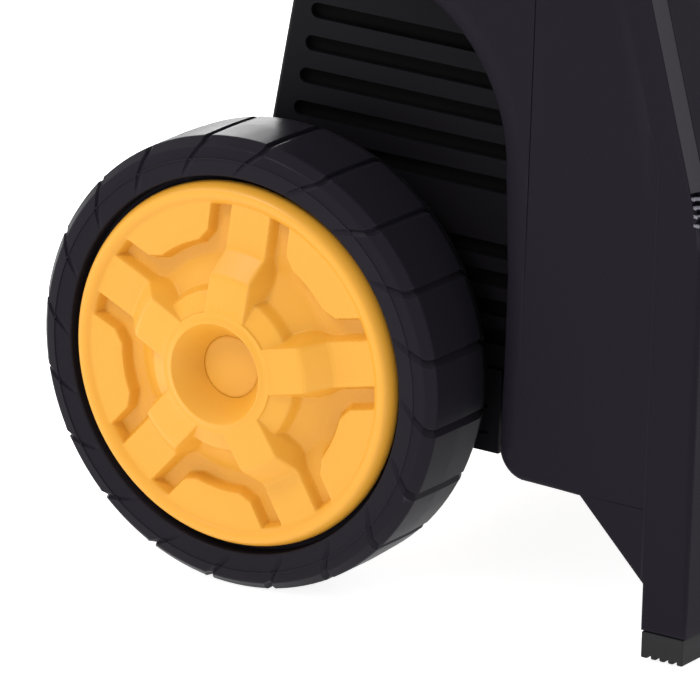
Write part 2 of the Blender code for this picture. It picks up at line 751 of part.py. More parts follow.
def make_water_side():
    front = front_line(FACE_RECESS)[0][0]
    inlet_profile = [
        (12.4, -22),
        (12.4, 1.5),
        (17, 1.5),
        (17, 5),
        (11, 5),
        (11, 19),
        (8.5, 21),
        (7.5, 21),
        (7.5, -22),
    ]
    turned("water_inlet", inlet_profile, SOFT_BLACK, (-PORT_X, front, PORT_Z), (90, 0, 0), bore=True)
    filter_profile = [(6.8, -10), (6.8, 16), (5.0, 16), (5.0, -10)]
    turned("inlet_filter", filter_profile, CLEAR, (-PORT_X, front, PORT_Z), (90, 0, 0), bore=True)
    outlet_profile = [(6.5, -22), (12.4, -22), (12.4, 1.5), (16, 1.5), (16, 6), (10.8, 7), (10.8, 21), (6.5, 21)]
    turned("water_outlet", outlet_profile, BRASS, (PORT_X, front, PORT_Z), (90, 0, 0), bore=True)
    swept_tube("inlet_pipe", hose_route(-1, front), 6.5, SOFT_BLACK, sides=12)
    swept_tube("outlet_pipe", hose_route(1, front), 5.5, STEEL, sides=10)


def hose_route(sign, front):
    """From the back of a hose port to the face of the pump head."""
    start = front + 22 + GAP
    end = SHAFT_Y - 36 - GAP
    points = [(PORT_X, start), (PORT_X, start + 14), (26, end - 10), (26, end)]
    return bend([(sign * x, y, PORT_Z) for x, y in points])


def make_detergent_side():
    front = front_line(FACE_RECESS + WALL)[0][0]
    top = 252.0
    slope_top = front + (top - SLOPE_START) * tan(radians(SLOPE))
    outline = [(front + 2, 130), (-90, 130), (-90, top), (slope_top + 3, top), (front + 2.5, SLOPE_START)]
    tank = prism("detergent_tank", outline, "X", -78, 78, CLEAR)
    soften(tank, 4, 1)
    at = cap_place()
    turn = (cap_turn(), 0, 0)
    shoulder = box("tank_shoulder", (-30, 30), (-24, 30), (-26, -5.5), CLEAR, at, turn)
    neck = turned("tank_neck", [(16, -25), (16, 9)], CLEAR, at, turn, steps=20)
    join(tank, shoulder, neck)
    drain = turned("tank_room", [(12, -24), (12, 20)], CLEAR, at, turn, steps=16)
    cut(tank, drain)
    cap_outer = [(22, 1.0), (23, 2.5), (23, 12), (21, 14.5)]
    cap = turned("detergent_cap", cap_outer, YELLOW, at, turn, steps=24)
    inner = turned("cap_room", [(16.6, -5), (16.6, 9.6)], YELLOW, at, turn, steps=24)
    cut(cap, inner)
    route = bend([(-60, -99, 129), (-60, -99, 122), (-50, -97, 116), (-34, -90, 115.5)])
    swept_tube("detergent_tube", route, 3.0, CLEAR, sides=8)


# ---------------------------------------------------------------- electrics and controls


def make_controls():
    at = knob_place()
    turn = (knob_turn(), 0, 0)
    ring("switch_bezel", 37, 28.8, GAP, 5, GREY, at, turn, steps=20)
    knob = turned("switch_knob", [(6, -9), (6, 1), (27, 1.1), (28, 6), (26, 12)], YELLOW, at, turn, steps=20)
    bar = box("knob_bar", (-5, 5), (-25.5, 25.5), (10, 21), YELLOW, at, turn)
    join(knob, bar)
    body = box("switch_body", (-20, 20), (-22, 22), (-46, -WALL - 7), GREY, at, turn)
    soften(body, 1.5, 1)
    turned("capacitor", [(15, 345), (17, 347), (17, 418), (15, 420)], GREY, (58, -8, 0), steps=20)
    terminal = box("terminal_box", (-86, -36), (-45, 5), (345, 392), GREY)
    soften(terminal, 3, 1)
    gland = [(5, -16), (8, -16), (8, 0.8), (12, 0.8), (12, 6), (7.5, 20), (5, 20)]
    turned("cable_gland", gland, SOFT_BLACK, (55, rear_y(150) + 1.2, 150), (-90, 0, 0), steps=16, bore=True)


def hook(name, z, upward):
    """Arm out of the rear cover with an upturned or downturned end, on a round foot."""
    start = rear_y(z) + 0.9
    tip = 14 * upward
    route = [(0, start, z), (0, start + 22, z), (0, start + 30, z + tip * 0.25), (0, start + 33, z + tip)]
    route.append((0, start + 33.5, z + tip * 2))
    return swept_tube(name, bend(route, 3), 5.0, SOFT_BLACK, sides=8)


def make_holders():
    hook("cable_hook_fixed", 215.0, -1)
    upper = hook("cable_hook_swivel", 385.0, 1)
    upper_origin = Vector((0, rear_y(385.0) + 0.9, 385.0)) * MM
    upper.data.transform(Matrix.Translation(-upper_origin))
    upper.location = upper_origin
    for name, y, z in (("gun_holder", -40.0, 330.0), ("lance_cup", -92.0, 180.0)):
        x = BODY_HALF + 20
        cup = [(12, z - 20), (16, z - 20), (18, z + 20), (14, z + 20)]
        holder = turned(name, cup, SOFT_BLACK, (x, y, 0), bore=True)
        join(holder, box("plate", (BODY_HALF + GAP, BODY_HALF + 6), (y - 14, y + 14), (z - 20, z + 20), SOFT_BLACK))


def main():
    clear_scene()
    make_running_gear()
    for side, sign in (("left", -1), ("right", 1)):
        side_shell(side, sign)
    make_front_panel()
    make_rear_cover()
    make_chassis()
    make_top_cover()
    make_feet()
    make_handle()
    make_motor()
    make_pump()
    make_water_side()
    make_detergent_side()
    make_controls()
    make_holders()


main()
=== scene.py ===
"""Looks of the upright pressure washer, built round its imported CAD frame.

World frame as in the CAD: +Z up, floor at z = 0, front towards -Y. Sizes below are in
millimetres and become metres in to_mesh().
"""

import json
from math import cos, pi, radians, sin, sqrt, tan

import bpy
import bmesh
import numpy as np
from mathutils import Matrix, Vector


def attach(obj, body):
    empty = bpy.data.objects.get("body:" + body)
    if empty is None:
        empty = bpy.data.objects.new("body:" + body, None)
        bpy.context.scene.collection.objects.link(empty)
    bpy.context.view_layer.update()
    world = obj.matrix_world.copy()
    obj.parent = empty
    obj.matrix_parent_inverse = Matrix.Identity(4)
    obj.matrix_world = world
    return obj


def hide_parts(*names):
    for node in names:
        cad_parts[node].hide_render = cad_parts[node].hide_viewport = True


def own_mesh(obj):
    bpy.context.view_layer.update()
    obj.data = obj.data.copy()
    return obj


MM = 0.001
GAP = 0.3

# Wheels
TYRE_RADIUS = 100.0
TREAD_RADIUS = 101.6
AXLE_Y = 65.0
RIM_X = 160.0
RIM_RADIUS = 82.0
SPOKES = 5
FIRST_SPOKE = 5.5  # degrees from straight up, towards the front
SPOKE_HALF_WIDTH = 9.9
CHANNEL_FLOOR = -3.0  # heights on the rim, outward from its outer edge
WALL_SLOPE = 2.7
TREAD_GROOVES = 20
TREAD_PHASE = 16.4  # degrees

# Body
BODY_HALF = 132.0
SHELL_INNER = 99.0
WALL = 3.0
COVER_HALF = 98.0
COVER_WALL = 2.5
COVER_BOTTOM = 102.4
CHASSIS_HALF = 100.0
CHASSIS_BOTTOM = 64.0
CHASSIS_TOP = 102.0
CHASSIS_FRONT = -33.6
TONGUE_HALF = 88.0
TONGUE_BOTTOM = 74.0
TONGUE_FRONT = -139.0
BODY_BOTTOM = 66.3
BODY_TOP = 466.0
CREASE_Y = -127.5
FRONT_Y = -150.0
COLUMN_REAR = -48.0
SLOPE_START = 207.0
SLOPE_END = 326.0
SLOPE = 16.0
UPPER_SLOPE = 8.0
FACE_RECESS = 6.0
REAR_FOOT_Y = 105.0
REAR_LEAN = 9.0
FOOT_HEIGHT = 12.0
CHAMFER = 5.2
LOUVRES = (210.1, 206.4, 202.6, 198.7)  # heights of the small ribs round the front
AXLE_HOLE = 6.3
FACE_ROWS = 140  # fineness of the rim's face, outwards and round the axle
FACE_COLUMNS = 810

SLOT_PITCH = 15.2
SLOT_HEIGHT = 7.0
UPPER_SLOTS = 5
LOWER_SLOTS = 4
FIRST_UPPER_SLOT = 184.6
FIRST_LOWER_SLOT = 116.0
LOWER_PITCH = 13.0

HANDLE_X = 82.0
HANDLE_Y = 30.0
TUBE_RADIUS = 11.0
TUBE_BOTTOM = 125.0
TUBE_TOP = 575.0
GRIP_Z = 585.0
GRIP_RADIUS = 15.0

KNOB_Z = 376.0
CAP_Z = 262.0
PORT_X = 45.0
PORT_Z = 105.0

# Pump
SHAFT_Y = -25.0
PISTONS = 3
PISTON_CIRCLE = 20.0
SPRING_LOW = 129.4
SPRING_HIGH = 145.6

SIDES = (("left", -1), ("right", 1))
LEAN = tan(radians(SLOPE))
UPPER_LEAN = tan(radians(UPPER_SLOPE))
KNOB_TILT = (90 - UPPER_SLOPE, 0, 0)
CAP_TILT = (90 - SLOPE, 0, 0)

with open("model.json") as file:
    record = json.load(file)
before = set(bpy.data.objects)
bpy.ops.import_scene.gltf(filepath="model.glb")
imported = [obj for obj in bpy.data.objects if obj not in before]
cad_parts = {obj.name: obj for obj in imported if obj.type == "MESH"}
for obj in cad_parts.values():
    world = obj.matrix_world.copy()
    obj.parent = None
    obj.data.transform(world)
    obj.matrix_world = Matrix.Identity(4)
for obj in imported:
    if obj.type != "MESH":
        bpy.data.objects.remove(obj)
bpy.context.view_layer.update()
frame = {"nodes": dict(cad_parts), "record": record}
record = frame["record"]
slot_of = {row["node"]: row["material_slot"] for row in record["subparts"]}
body_of = {node: body for body, members in record["behaviour"]["bodies"].items() for node in members}


# ---- materials


def material(
    name,
    colour,
    roughness,
    metallic=0.0,
    specular=0.5,
    grain=0.7,
    bump=0.2,
    blotch=0.08,
    edge=0.0,
    stretch=(1.0, 1.0, 1.0),
    transmission=0.0,
):
    """Moulded or metal surface: fine grain in the bump, slow variation in colour and gloss, paler edges."""
    made = bpy.data.materials.new(name)
    made.use_nodes = True
    tree = made.node_tree
    shader = tree.nodes["Principled BSDF"]
    link = tree.links.new

    def add(kind, **values):
        node = tree.nodes.new("ShaderNode" + kind)
        for socket, value in values.items():
            node.inputs[socket.replace("_", " ")].default_value = value
        return node

    def blend(share, low, high):
        node = add("Mix")
        node.data_type = "RGBA"
        link(share, node.inputs["Factor"])
        for socket, value in (("A", low), ("B", high)):
            if isinstance(value, list):
                node.inputs[socket].default_value = (*value, 1.0)
            else:
                link(value, node.inputs[socket])
        return node.outputs["Result"]

    where = add("TexCoord").outputs["Object"]
    scaled = add("Mapping", Scale=stretch)
    link(where, scaled.inputs["Vector"])
    fine = add("TexNoise", Scale=1000.0 / grain, Detail=3.0)
    link(scaled.outputs["Vector"], fine.inputs["Vector"])
    broad = add("TexNoise", Scale=16.0, Detail=4.0)
    link(where, broad.inputs["Vector"])

    pale = [min(1.0, c * (1 + blotch)) for c in colour]
    painted = blend(broad.outputs["Fac"], [c * (1 - blotch) for c in colour], pale)
    if edge:
        worn = add("MapRange", From_Min=0.52, From_Max=0.62, To_Max=edge)
        link(add("NewGeometry").outputs["Pointiness"], worn.inputs["Value"])
        painted = blend(worn.outputs["Result"], painted, [min(1.0, c * 2.0 + 0.02) for c in colour])
    link(painted, shader.inputs["Base Color"])

    dull, shiny = min(1.0, roughness + 0.05), max(0.02, roughness - 0.05)
    gloss = add("MapRange", From_Min=0.3, From_Max=0.7, To_Min=shiny, To_Max=dull)
    link(broad.outputs["Fac"], gloss.inputs["Value"])
    link(gloss.outputs["Result"], shader.inputs["Roughness"])

    relief = add("Bump", Strength=bump, Distance=0.0002)
    link(fine.outputs["Fac"], relief.inputs["Height"])
    link(relief.outputs["Normal"], shader.inputs["Normal"])

    shader.inputs["Metallic"].default_value = metallic
    shader.inputs["Specular IOR Level"].default_value = specular
    shader.inputs["Transmission Weight"].default_value = transmission
    return made


def dark(colour, roughness, specular, **more):
    return dict(colour=colour, roughness=roughness, specular=specular, **more)


def metal(colour, roughness, **more):
    return dict(colour=colour, roughness=roughness, **{"metallic": 1.0, **more})


KINDS = {
    "black_plastic": dark((0.0098, 0.0083, 0.0122), 0.50, 0.03, grain=0.5, bump=0.25, edge=0.2),
    "dark_plastic": dark((0.0028, 0.0026, 0.0033), 0.60, 0.08, grain=0.9, bump=0.4),
    "tyre": dark((0.0120, 0.0108, 0.0146), 0.34, 0.03, grain=0.6, edge=0.4),
    "rubber": dark((0.010, 0.010, 0.011), 0.75, 0.25, grain=0.8, bump=0.5),
    "yellow": dark((0.615, 0.288, 0.028), 0.42, 0.28, grain=0.5, bump=0.10, blotch=0.015),
    "steel": metal((0.30, 0.305, 0.32), 0.36, grain=0.4, bump=0.15, stretch=(1.0, 1.0, 0.03), blotch=0.04),
    "cast": metal((0.30, 0.305, 0.31), 0.55, metallic=0.9, grain=1.2, bump=0.7, blotch=0.15),
    "brass": metal((0.74, 0.52, 0.22), 0.28, grain=0.5, blotch=0.06),
    "copper": metal((0.45, 0.19, 0.08), 0.4, metallic=0.9, grain=1.0, bump=0.6, stretch=(1.0, 1.0, 0.1)),
    "grey_plastic": dark((0.12, 0.12, 0.13), 0.5, 0.4, bump=0.3, edge=0.2),
    "clear_plastic": dark((0.70, 0.74, 0.76), 0.25, 0.5, grain=1.5, bump=0.1, transmission=0.6),
    # Darker black for the rear cover and the chassis: partly their own deeper black, partly painted shade where they
    # sit behind the wheels and under the shells.
    "cover_black_and_shade": dark((0.0036, 0.0031, 0.0043), 0.55, 0.07, grain=0.5, bump=0.25),
    # Satin black for the strips on the front edges: the gloss is real; the paler base colour is a painted highlight
    # along the chamfer.
    "satin_black_and_highlight": dark((0.021, 0.019, 0.024), 0.45, 0.22, grain=0.5),
    # Pale grey for the small ribs round the front: a painted highlight on their rounded faces; the gloss is real.
    "rib_highlight_grey": dark((0.095, 0.092, 0.11), 0.3, 0.5, grain=0.4, bump=0.1),
    # Near-black for the sheets inside the rear cover: painted shade behind the slots.
    "painted_shade_black": dark((0.002, 0.002, 0.002), 0.9, 0.05, grain=1.0, bump=0.3),
    "white_mark": dark((0.75, 0.75, 0.74), 0.5, 0.4, grain=0.6, bump=0.15),
}
LOOKS = {name: material(name, **kind) for name, kind in KINDS.items()}


# ---- shapes


def added(name, data):
    """A new object in the scene."""
    obj = bpy.data.objects.new(name, data)
    bpy.context.collection.objects.link(obj)
    return obj


def to_mesh(name, points, faces, sharp=35):
    """A mesh object from points in mm, smooth except over sharp edges."""
    mesh = bpy.data.meshes.new(name)
    mesh.from_pydata((np.asarray(points, float) * MM).tolist(), [], faces)
    obj = added(name, mesh)
    outward(obj)
    smooth(obj, sharp)
    return obj


def outward(obj):
    worked = bmesh.new()
    worked.from_mesh(obj.data)
    bmesh.ops.recalc_face_normals(worked, faces=worked.faces)
    worked.to_mesh(obj.data)
    worked.free()


def smooth(obj, sharp=35):
    obj.data.shade_smooth()
    obj.data.set_sharp_from_angle(angle=radians(sharp))


def skin(name, grid, loop=False, sharp=35):
    """Closed skin over rings of points, capped at both ends unless they loop."""
    grid = np.asarray(grid, float)
    rows, columns = grid.shape[:2]
    index = np.arange(rows * columns).reshape(rows, columns)
    wide = np.hstack([index, index[:, :1]])
    if loop:
        wide = np.vstack([wide, wide[:1]])
    quads = np.stack([wide[:-1, :-1], wide[:-1, 1:], wide[1:, 1:], wide[1:, :-1]], -1).reshape(-1, 4)
    faces = quads.tolist()
    if not loop:
        faces += [index[0][::-1].tolist(), index[-1].tolist()]
    return to_mesh(name, grid.reshape(-1, 3), faces, sharp)


def span(sign, near, far):
    """Range in X on one side of the middle, lowest first."""
    return sorted((sign * near, sign * far))


def arc(cx, cy, radius, start, end, steps):
    angles = [radians(start + (end - start) * i / steps) for i in range(steps + 1)]
    return [(cx + radius * cos(a), cy + radius * sin(a)) for a in angles]


def rounded(points, closed=True, steps=6):
    """Replaces corners by arcs. Each point is (u, v, corner radius, ...); further values ride along."""
    count = len(points)
    result = []
    for i, point in enumerate(points):
        here = np.array(point[:2], float)
        extra = tuple(point[3:])
        radius = point[2]
        if radius <= 0 or (not closed and i in (0, count - 1)):
            result.append((*here, *extra))
            continue
        before = np.array(points[i - 1][:2], float) - here
        after = np.array(points[(i + 1) % count][:2], float) - here
        reach = min(np.linalg.norm(before), np.linalg.norm(after)) * 0.499
        before /= np.linalg.norm(before)
        after /= np.linalg.norm(after)
        half = np.arccos(np.clip(before @ after, -1, 1)) / 2
        if half > pi / 2 - 1e-3:
            result.append((*here, *extra))
            continue
        tangent = min(radius / tan(half), reach)
        radius = tangent * tan(half)
        middle = (before + after) / np.linalg.norm(before + after) * (radius / sin(half)) + here
        start = here + before * tangent - middle
        end = here + after * tangent - middle
        turn = pi - 2 * half
        for k in range(steps + 1):
            a, b = sin(turn * (1 - k / steps)), sin(turn * k / steps)
            place = middle + (start * a + end * b) / sin(turn)
            result.append((*place, *extra))
    return result


def corners(x, y, *more):
    """The four corners of a rectangle."""
    return [(x[0], y[0], *more), (x[1], y[0], *more), (x[1], y[1], *more), (x[0], y[1], *more)]


def rectangle(x, y, radius, steps=8):
    return rounded(corners(x, y, radius), steps=steps)


def turned(name, profile, at=(0, 0, 0), tilt=(0, 0, 0), steps=48, loop=False, soft=0.0, sharp=35):
    """Lathe round local Z from (radius, height) points, its corners eased by soft."""
    if soft:
        profile = rounded([(r, h, soft) for r, h in profile], closed=loop, steps=3)
    angles = np.linspace(0, 2 * pi, steps, endpoint=False)
    grid = np.array([[(r * cos(a), r * sin(a), h) for a in angles] for r, h in profile])
    return placed(skin(name, grid, loop, sharp), at, tilt)


def placed(obj, at=(0, 0, 0), tilt=(0, 0, 0)):
    turn = Matrix.Identity(4)
    for axis, angle in zip("XYZ", tilt):
        turn = Matrix.Rotation(radians(angle), 4, axis) @ turn
    obj.data.transform(Matrix.Translation(Vector(at) * MM) @ turn)
    return obj


def prism(name, outline, axis, low, high, sharp=35):
    """Straight solid along X, Y or Z over an outline in the other two, in X, Y, Z order."""
    place = "XYZ".index(axis)
    grid = [[np.insert(np.array(p[:2], float), place, h) for p in outline] for h in (low, high)]
    return skin(name, grid, sharp=sharp)


def block(name, x, y, z, soft=0.0, at=(0, 0, 0), tilt=(0, 0, 0), segments=3):
    obj = prism(name, corners(x, y), "Z", *z)
    if soft:
        soften(obj, soft, segments)
    return placed(obj, at, tilt)


def bake(obj):
    made = bpy.data.meshes.new_from_object(obj.evaluated_get(bpy.context.evaluated_depsgraph_get()))
    obj.modifiers.clear()
    obj.data = made
    return obj


def carve(obj, cutters, operation="DIFFERENCE"):
    for cutter in cutters:
        step = obj.modifiers.new("carve", "BOOLEAN")
        step.solver = "EXACT"
        step.operation = operation
        step.object = cutter
    bake(obj)
    for cutter in cutters:
        bpy.data.objects.remove(cutter, do_unlink=True)
    return obj


def soften(obj, width, segments=3, angle=35, sharp=40):
    step = obj.modifiers.new("soften", "BEVEL")
    step.width = width * MM
    step.segments = segments
    step.limit_method = "ANGLE"
    step.angle_limit = radians(angle)
    step.use_clamp_overlap = True
    bake(obj)
    smooth(obj, sharp)
    return obj


def merged(name, pieces):
    """One object out of several."""
    worked = bmesh.new()
    for piece in pieces:
        worked.from_mesh(piece.data)
        bpy.data.objects.remove(piece, do_unlink=True)
    mesh = bpy.data.meshes.new(name)
    worked.to_mesh(mesh)
    worked.free()
    return added(name, mesh)


def swept(name, route, section, up=(1, 0, 0), sharp=35):
    """Carries a section (side, up) along a route; the section may change from point to point."""
    route = np.asarray(route, float)
    ahead = np.gradient(route, axis=0)
    ahead /= np.linalg.norm(ahead, axis=1)[:, None]
    upward = np.array(up, float)
    grid = []
    for i, (point, forward) in enumerate(zip(route, ahead)):
        side = np.cross(forward, upward)
        side /= np.linalg.norm(side)
        over = np.cross(side, forward)
        shape = section[i] if np.ndim(section[0][0]) else section
        grid.append([point + side * a + over * b for a, b in shape])
    return skin(name, grid, sharp=sharp)


def bend(points, steps=8):
    """Smooth route through a few points, as a Catmull-Rom curve."""
    knots = [np.array(p, float) for p in points]
    knots = [knots[0] * 2 - knots[1], *knots, knots[-1] * 2 - knots[-2]]
    route = []
    for a, b, c, d in zip(knots, knots[1:], knots[2:], knots[3:]):
        for k in range(steps):
            t = k / steps
            square = (2 * a - 5 * b + 4 * c - d) * t**2
            cube = (3 * b - a - 3 * c + d) * t**3
            route.append((2 * b + (c - a) * t + square + cube) / 2)
    return [*route, knots[-2]]


def layered(plan, layers):
    """Rings over a plan in X and Y, each one moved inwards and set at a height."""
    return np.array([np.insert(inset(np.array(plan), inward), 2, z, axis=1) for inward, z in layers])


def disc(radius, steps=16):
    return [(radius * cos(a), radius * sin(a)) for a in np.linspace(0, 2 * pi, steps, endpoint=False)]


def finish_piece(obj, slot, body, look=None):
    obj.data.materials.clear()
    obj.data.materials.append(LOOKS[look or slot])
    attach(obj, body)
    return obj


def even(obj, limit=32):
    """Shades large flat faces evenly up to their rounded edges: at each corner the widest plane leads."""
    mesh = obj.data
    faces, corners = len(mesh.polygons), len(mesh.loops)

    def read(rows, name, width, count, kind=float):
        values = np.zeros(count * width, kind)
        rows.foreach_get(name, values)
        return values.reshape(count, width) if width > 1 else values

    normal = read(mesh.polygons, "normal", 3, faces)
    area = read(mesh.polygons, "area", 1, faces)
    offset = (normal * read(mesh.polygons, "center", 3, faces)).sum(1) / MM
    _, plane = np.unique(np.round(np.column_stack([normal * 211, offset * 7.3])), axis=0, return_inverse=True)
    plane = plane.ravel()
    lead = (np.bincount(plane, area)[plane] * 1e5) ** 3
    vertex = read(mesh.loops, "vertex_index", 1, corners, np.int32)
    face = np.repeat(np.arange(faces), read(mesh.polygons, "loop_total", 1, faces, np.int32))
    order = np.argsort(vertex, kind="stable")
    first = np.searchsorted(vertex[order], np.arange(len(mesh.vertices)))
    meets = np.bincount(vertex, minlength=len(mesh.vertices))
    shaded = np.zeros((corners, 3))
    for k in range(meets.max()):
        held = k < meets[vertex]
        other = face[order[np.minimum(first[vertex] + k, corners - 1)]]
        held &= (normal[face] * normal[other]).sum(1) > cos(radians(limit))
        shaded += np.where(held, lead[other], 0)[:, None] * normal[other]
    shaded /= np.linalg.norm(shaded, axis=1)[:, None] + 1e-30
    mesh.normals_split_custom_set(shaded.tolist())


def stand_in(obj, node, look=None):
    """The detailed piece takes the place, body and finish of a CAD node."""
    if len(obj.data.polygons) < 40000:
        even(obj)
    finish_piece(obj, slot_of[node], body_of[node], look)
    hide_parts(node)
    obj.name = node + ".detail"
    return obj


# ---- wheels


def soft_min(a, b, width):
    close = np.maximum(width - np.abs(a - b), 0) / width
    return np.minimum(a, b) - close**2 * width / 4


def soft_max(a, b, width):
    return -soft_min(-a, -b, width)


def rim_height(radius, angle):
    """How far the rim's face stands out of its outer edge, at a radius and an angle from the top."""
    sector = 2 * pi / SPOKES
    around = np.mod(angle - radians(FIRST_SPOKE), sector)
    off_spoke = sector / 2 - np.abs(around - sector / 2)
    across = radius * np.sin(off_spoke)

    floor = np.interp(radius, [28, 38, 48, 49.8, 90], [9.6, 3.7, -2.2, -3.0, -3.0])
    spoke = np.interp(radius, [26, 34, 43.2, 45, 52.4, 54.2, 73, 90], [15, 14.2, 13.4, 12.4, 3.5, 2.6, 2.1, 2.0])
    spoke = soft_min(spoke, spoke + 0.4 - WALL_SLOPE * (across - SPOKE_HALF_WIDTH), 1.2)
    ring = soft_min(15.0 + 0 * radius, 15.0 - 4.0 * (radius - 27.3), 0.7)
    star = soft_max(spoke, ring, 0.5)
    ledge_top = 14.1 - 0.5 * (radius - 27.3)
    ledge = soft_min(ledge_top, ledge_top - WALL_SLOPE * (radius - 36.0), 1.2)
    corner = 1.7 * (across - 18.9 + radius - 55.0 - 4.2)
    pad_edge = soft_min(soft_min(4.2 * (across - 18.9), 2.5 * (radius - 55.0), 1.5), corner, 1.5)
    pad = soft_min(2.5 + 0 * radius, CHANNEL_FLOOR + pad_edge, 1.4)
    height = soft_max(star, ledge, 0.4)
    height = soft_max(height, pad, 1.0)
    height = soft_max(height, floor, 1.4)
    lip = np.interp(
        radius,
        [60, 72.5, 73.2, 74.4, 75.8, 77.0, 78.2, 79.0, 79.8, 80.5, 81.1, 81.6, RIM_RADIUS],
        [-42, 1.4, 2.2, 3.2, 4.0, 4.3, 4.2, 3.8, 3.0, 1.8, 0.4, -1.0, -2.6],
    )
    height = np.where(radius > 77.0, lip, soft_max(height, lip, 0.4))
    recess = 3.0 + (radius - 14.0) * 1.55
    return soft_min(height, recess, 0.8)


def wheel_points(sign, x, radius, angle):
    """Places round the axle, from X, radius and angle from the top."""
    return np.stack([sign * x, AXLE_Y - radius * np.sin(angle), TYRE_RADIUS + radius * np.cos(angle)], -1)


def make_rim(side, sign):
    lip_radii = [73.8, 74.6, 75.6, 76.6, 77.6, 78.4, 79, 79.6, 80.2, 80.7, 81.1, 81.5, 81.8, RIM_RADIUS]
    radii = np.concatenate([np.linspace(14.0, 73.2, FACE_ROWS), lip_radii])
    angles = np.linspace(0, 2 * pi, FACE_COLUMNS, endpoint=False)
    radius, angle = np.meshgrid(radii, angles, indexing="ij")
    height = rim_height(radius, angle)
    back = [(81.9, -3.6), (79.9, -6), (79.5, -6.6), (79.5, -50.4), (79, -51), (76, -51), (75.5, -50)]
    back += [(74.5, -9), (60, -8.5), (20, -9), (16, -12), (15.6, -55), (15, -55.5), (6.8, -55.5), (AXLE_HOLE, -55)]
    back += [(AXLE_HOLE, -8), (12, -8), (12, 0.6), (14, 0.6)]
    count = len(angles)
    rows = np.array(back)
    radius = np.vstack([radius, np.repeat(rows[:, :1], count, 1)])
    height = np.vstack([height, np.repeat(rows[:, 1:], count, 1)])
    angle = np.vstack([angle, np.tile(angles, (len(back), 1))])
    rim = skin("rim", wheel_points(sign, RIM_X + height, radius, angle), loop=True)
    # Only the face is thinned out, up to just inside the lip.
    face = rim.vertex_groups.new(name="face")
    face.add(range(count * (FACE_ROWS - 2)), 1.0, "REPLACE")
    fewer = rim.modifiers.new("fewer", "DECIMATE")
    fewer.ratio = 0.4
    fewer.vertex_group = "face"
    fewer.vertex_group_factor = 1000.0
    bake(rim)
    smooth(rim, 32)
    return stand_in(rim, "wheel_rim_" + side)


def make_tyre(side, sign):
    """Rounded tread with slanting one-sided grooves that run over the shoulder and down the side."""
    profile = [(79.9, 50, 0), (79.9, 7, 0), (84.3, 5.5, 0.5), (84.8, -1.6, 1.2), (92.4, -2.4, 0), (92.6, -2.95, 0)]
    profile += [(92.95, -2.95, 0), (93.2, -2.3, 0), (97.8, -0.9, 2.5), (TREAD_RADIUS, 4.0, 2.5)]
    profile += [(TREAD_RADIUS, 24, 0), (TREAD_RADIUS - 0.7, 42, 6), (97.6, 49.5, 6), (93.3, 54.6, 0.4), (84, 55.5, 1.2)]
    profile = rounded(profile, steps=3)
    # More rows across the sidewall and the tread, so that the grooves can bend there.
    dense = []
    for (r0, x0), (r1, x1) in zip(profile, profile[1:] + profile[:1]):
        far = sqrt((r1 - r0) ** 2 + (x1 - x0) ** 2)
        pieces = 1 if max(r0, r1) < 84.5 else max(1, int(far / 2.2))
        dense += [(r0 + (r1 - r0) * k / pieces, x0 + (x1 - x0) * k / pieces) for k in range(pieces)]
    line = np.array(dense)
    after = np.roll(line, -1, 0) - np.roll(line, 1, 0)
    after /= np.linalg.norm(after, axis=1)[:, None]
    normal = np.stack([-after[:, 1], after[:, 0]], 1)
    middle = np.array([88.0, 26.0])
    normal *= np.sign(((line - middle) * normal).sum(1))[:, None]

    radius, inward = line[:, 0], line[:, 1]
    lean = 0.58 * np.clip(np.minimum(radius, 97.0) - 87.3, -1, None)
    lean += 1.4 * np.clip((radius - 97.0) / 3.0, 0, 1)
    over = 0.01 * np.clip(inward - 8, 0, 38)
    past = 0.58 * (97.0 - np.minimum(radius, 97.0)) + 1.4 * np.clip((TYRE_RADIUS - radius) / 3.0, 0, 1)
    lean = np.where(inward > 30, 5.63 + 1.4 + over + np.where(inward > 46, past, 0), lean + over)
    strength = np.clip((radius - 86.2) / 2.5, 0, 1) * (0.5 + 0.5 * np.clip((radius - 94) / 5, 0, 1))

    pitch = 360.0 / TREAD_GROOVES
    steps = [-1.6, -0.3, -0.1, 0.12, 0.30, 0.5, 1.0, 1.6, 2.1, 2.3, 2.45, 2.6, 2.9, 4.4, 6.6, 9.2, 11.8, 14.4]
    depths = [0, 0, -0.05, 0.7, 1.55, 1.75, 1.25, 0.65, 0.12, -0.10, -0.16, -0.08, 0, 0, 0, 0, 0, 0]
    columns = np.array([k * pitch + s for k in range(TREAD_GROOVES) for s in steps])
    depth = np.array(depths * TREAD_GROOVES)
    angle = np.radians(TREAD_PHASE + columns[None, :] + lean[:, None])
    sunk = depth[None, :] * strength[:, None]
    r = radius[:, None] - normal[:, :1] * sunk
    x = inward[:, None] - normal[:, 1:] * sunk
    r = np.minimum(r, TREAD_RADIUS)
    tyre = skin("tyre", wheel_points(sign, RIM_X - x, r, angle), loop=True, sharp=28)
    return stand_in(tyre, "tyre_" + side)


def make_wheels():
    for side, sign in SIDES:
        make_rim(side, sign)
        make_tyre(side, sign)
        profile = [(13.0, -1.0), (13.9, -1.6), (13.95, -2.6), (13.5, -3.0), (12.6, -3.2), (9.0, -3.2), (2.0, -3.3)]
        cap = turned("cap", profile, (sign * RIM_X, AXLE_Y, TYRE_RADIUS), (0, -90 * sign, 0), steps=64)
        stand_in(cap, "hub_cap_" + side)


# ---- body


def front_y(z, recess=0.0):
    """The front's Y at a height: upright, then leaning back, then leaning less."""
    lean = LEAN * (min(max(z, SLOPE_START), SLOPE_END) - SLOPE_START)
    return FRONT_Y + recess + lean + UPPER_LEAN * max(0.0, z - SLOPE_END)


def rear_y(z):
    return REAR_FOOT_Y - (z - COVER_BOTTOM) * tan(radians(REAR_LEAN))


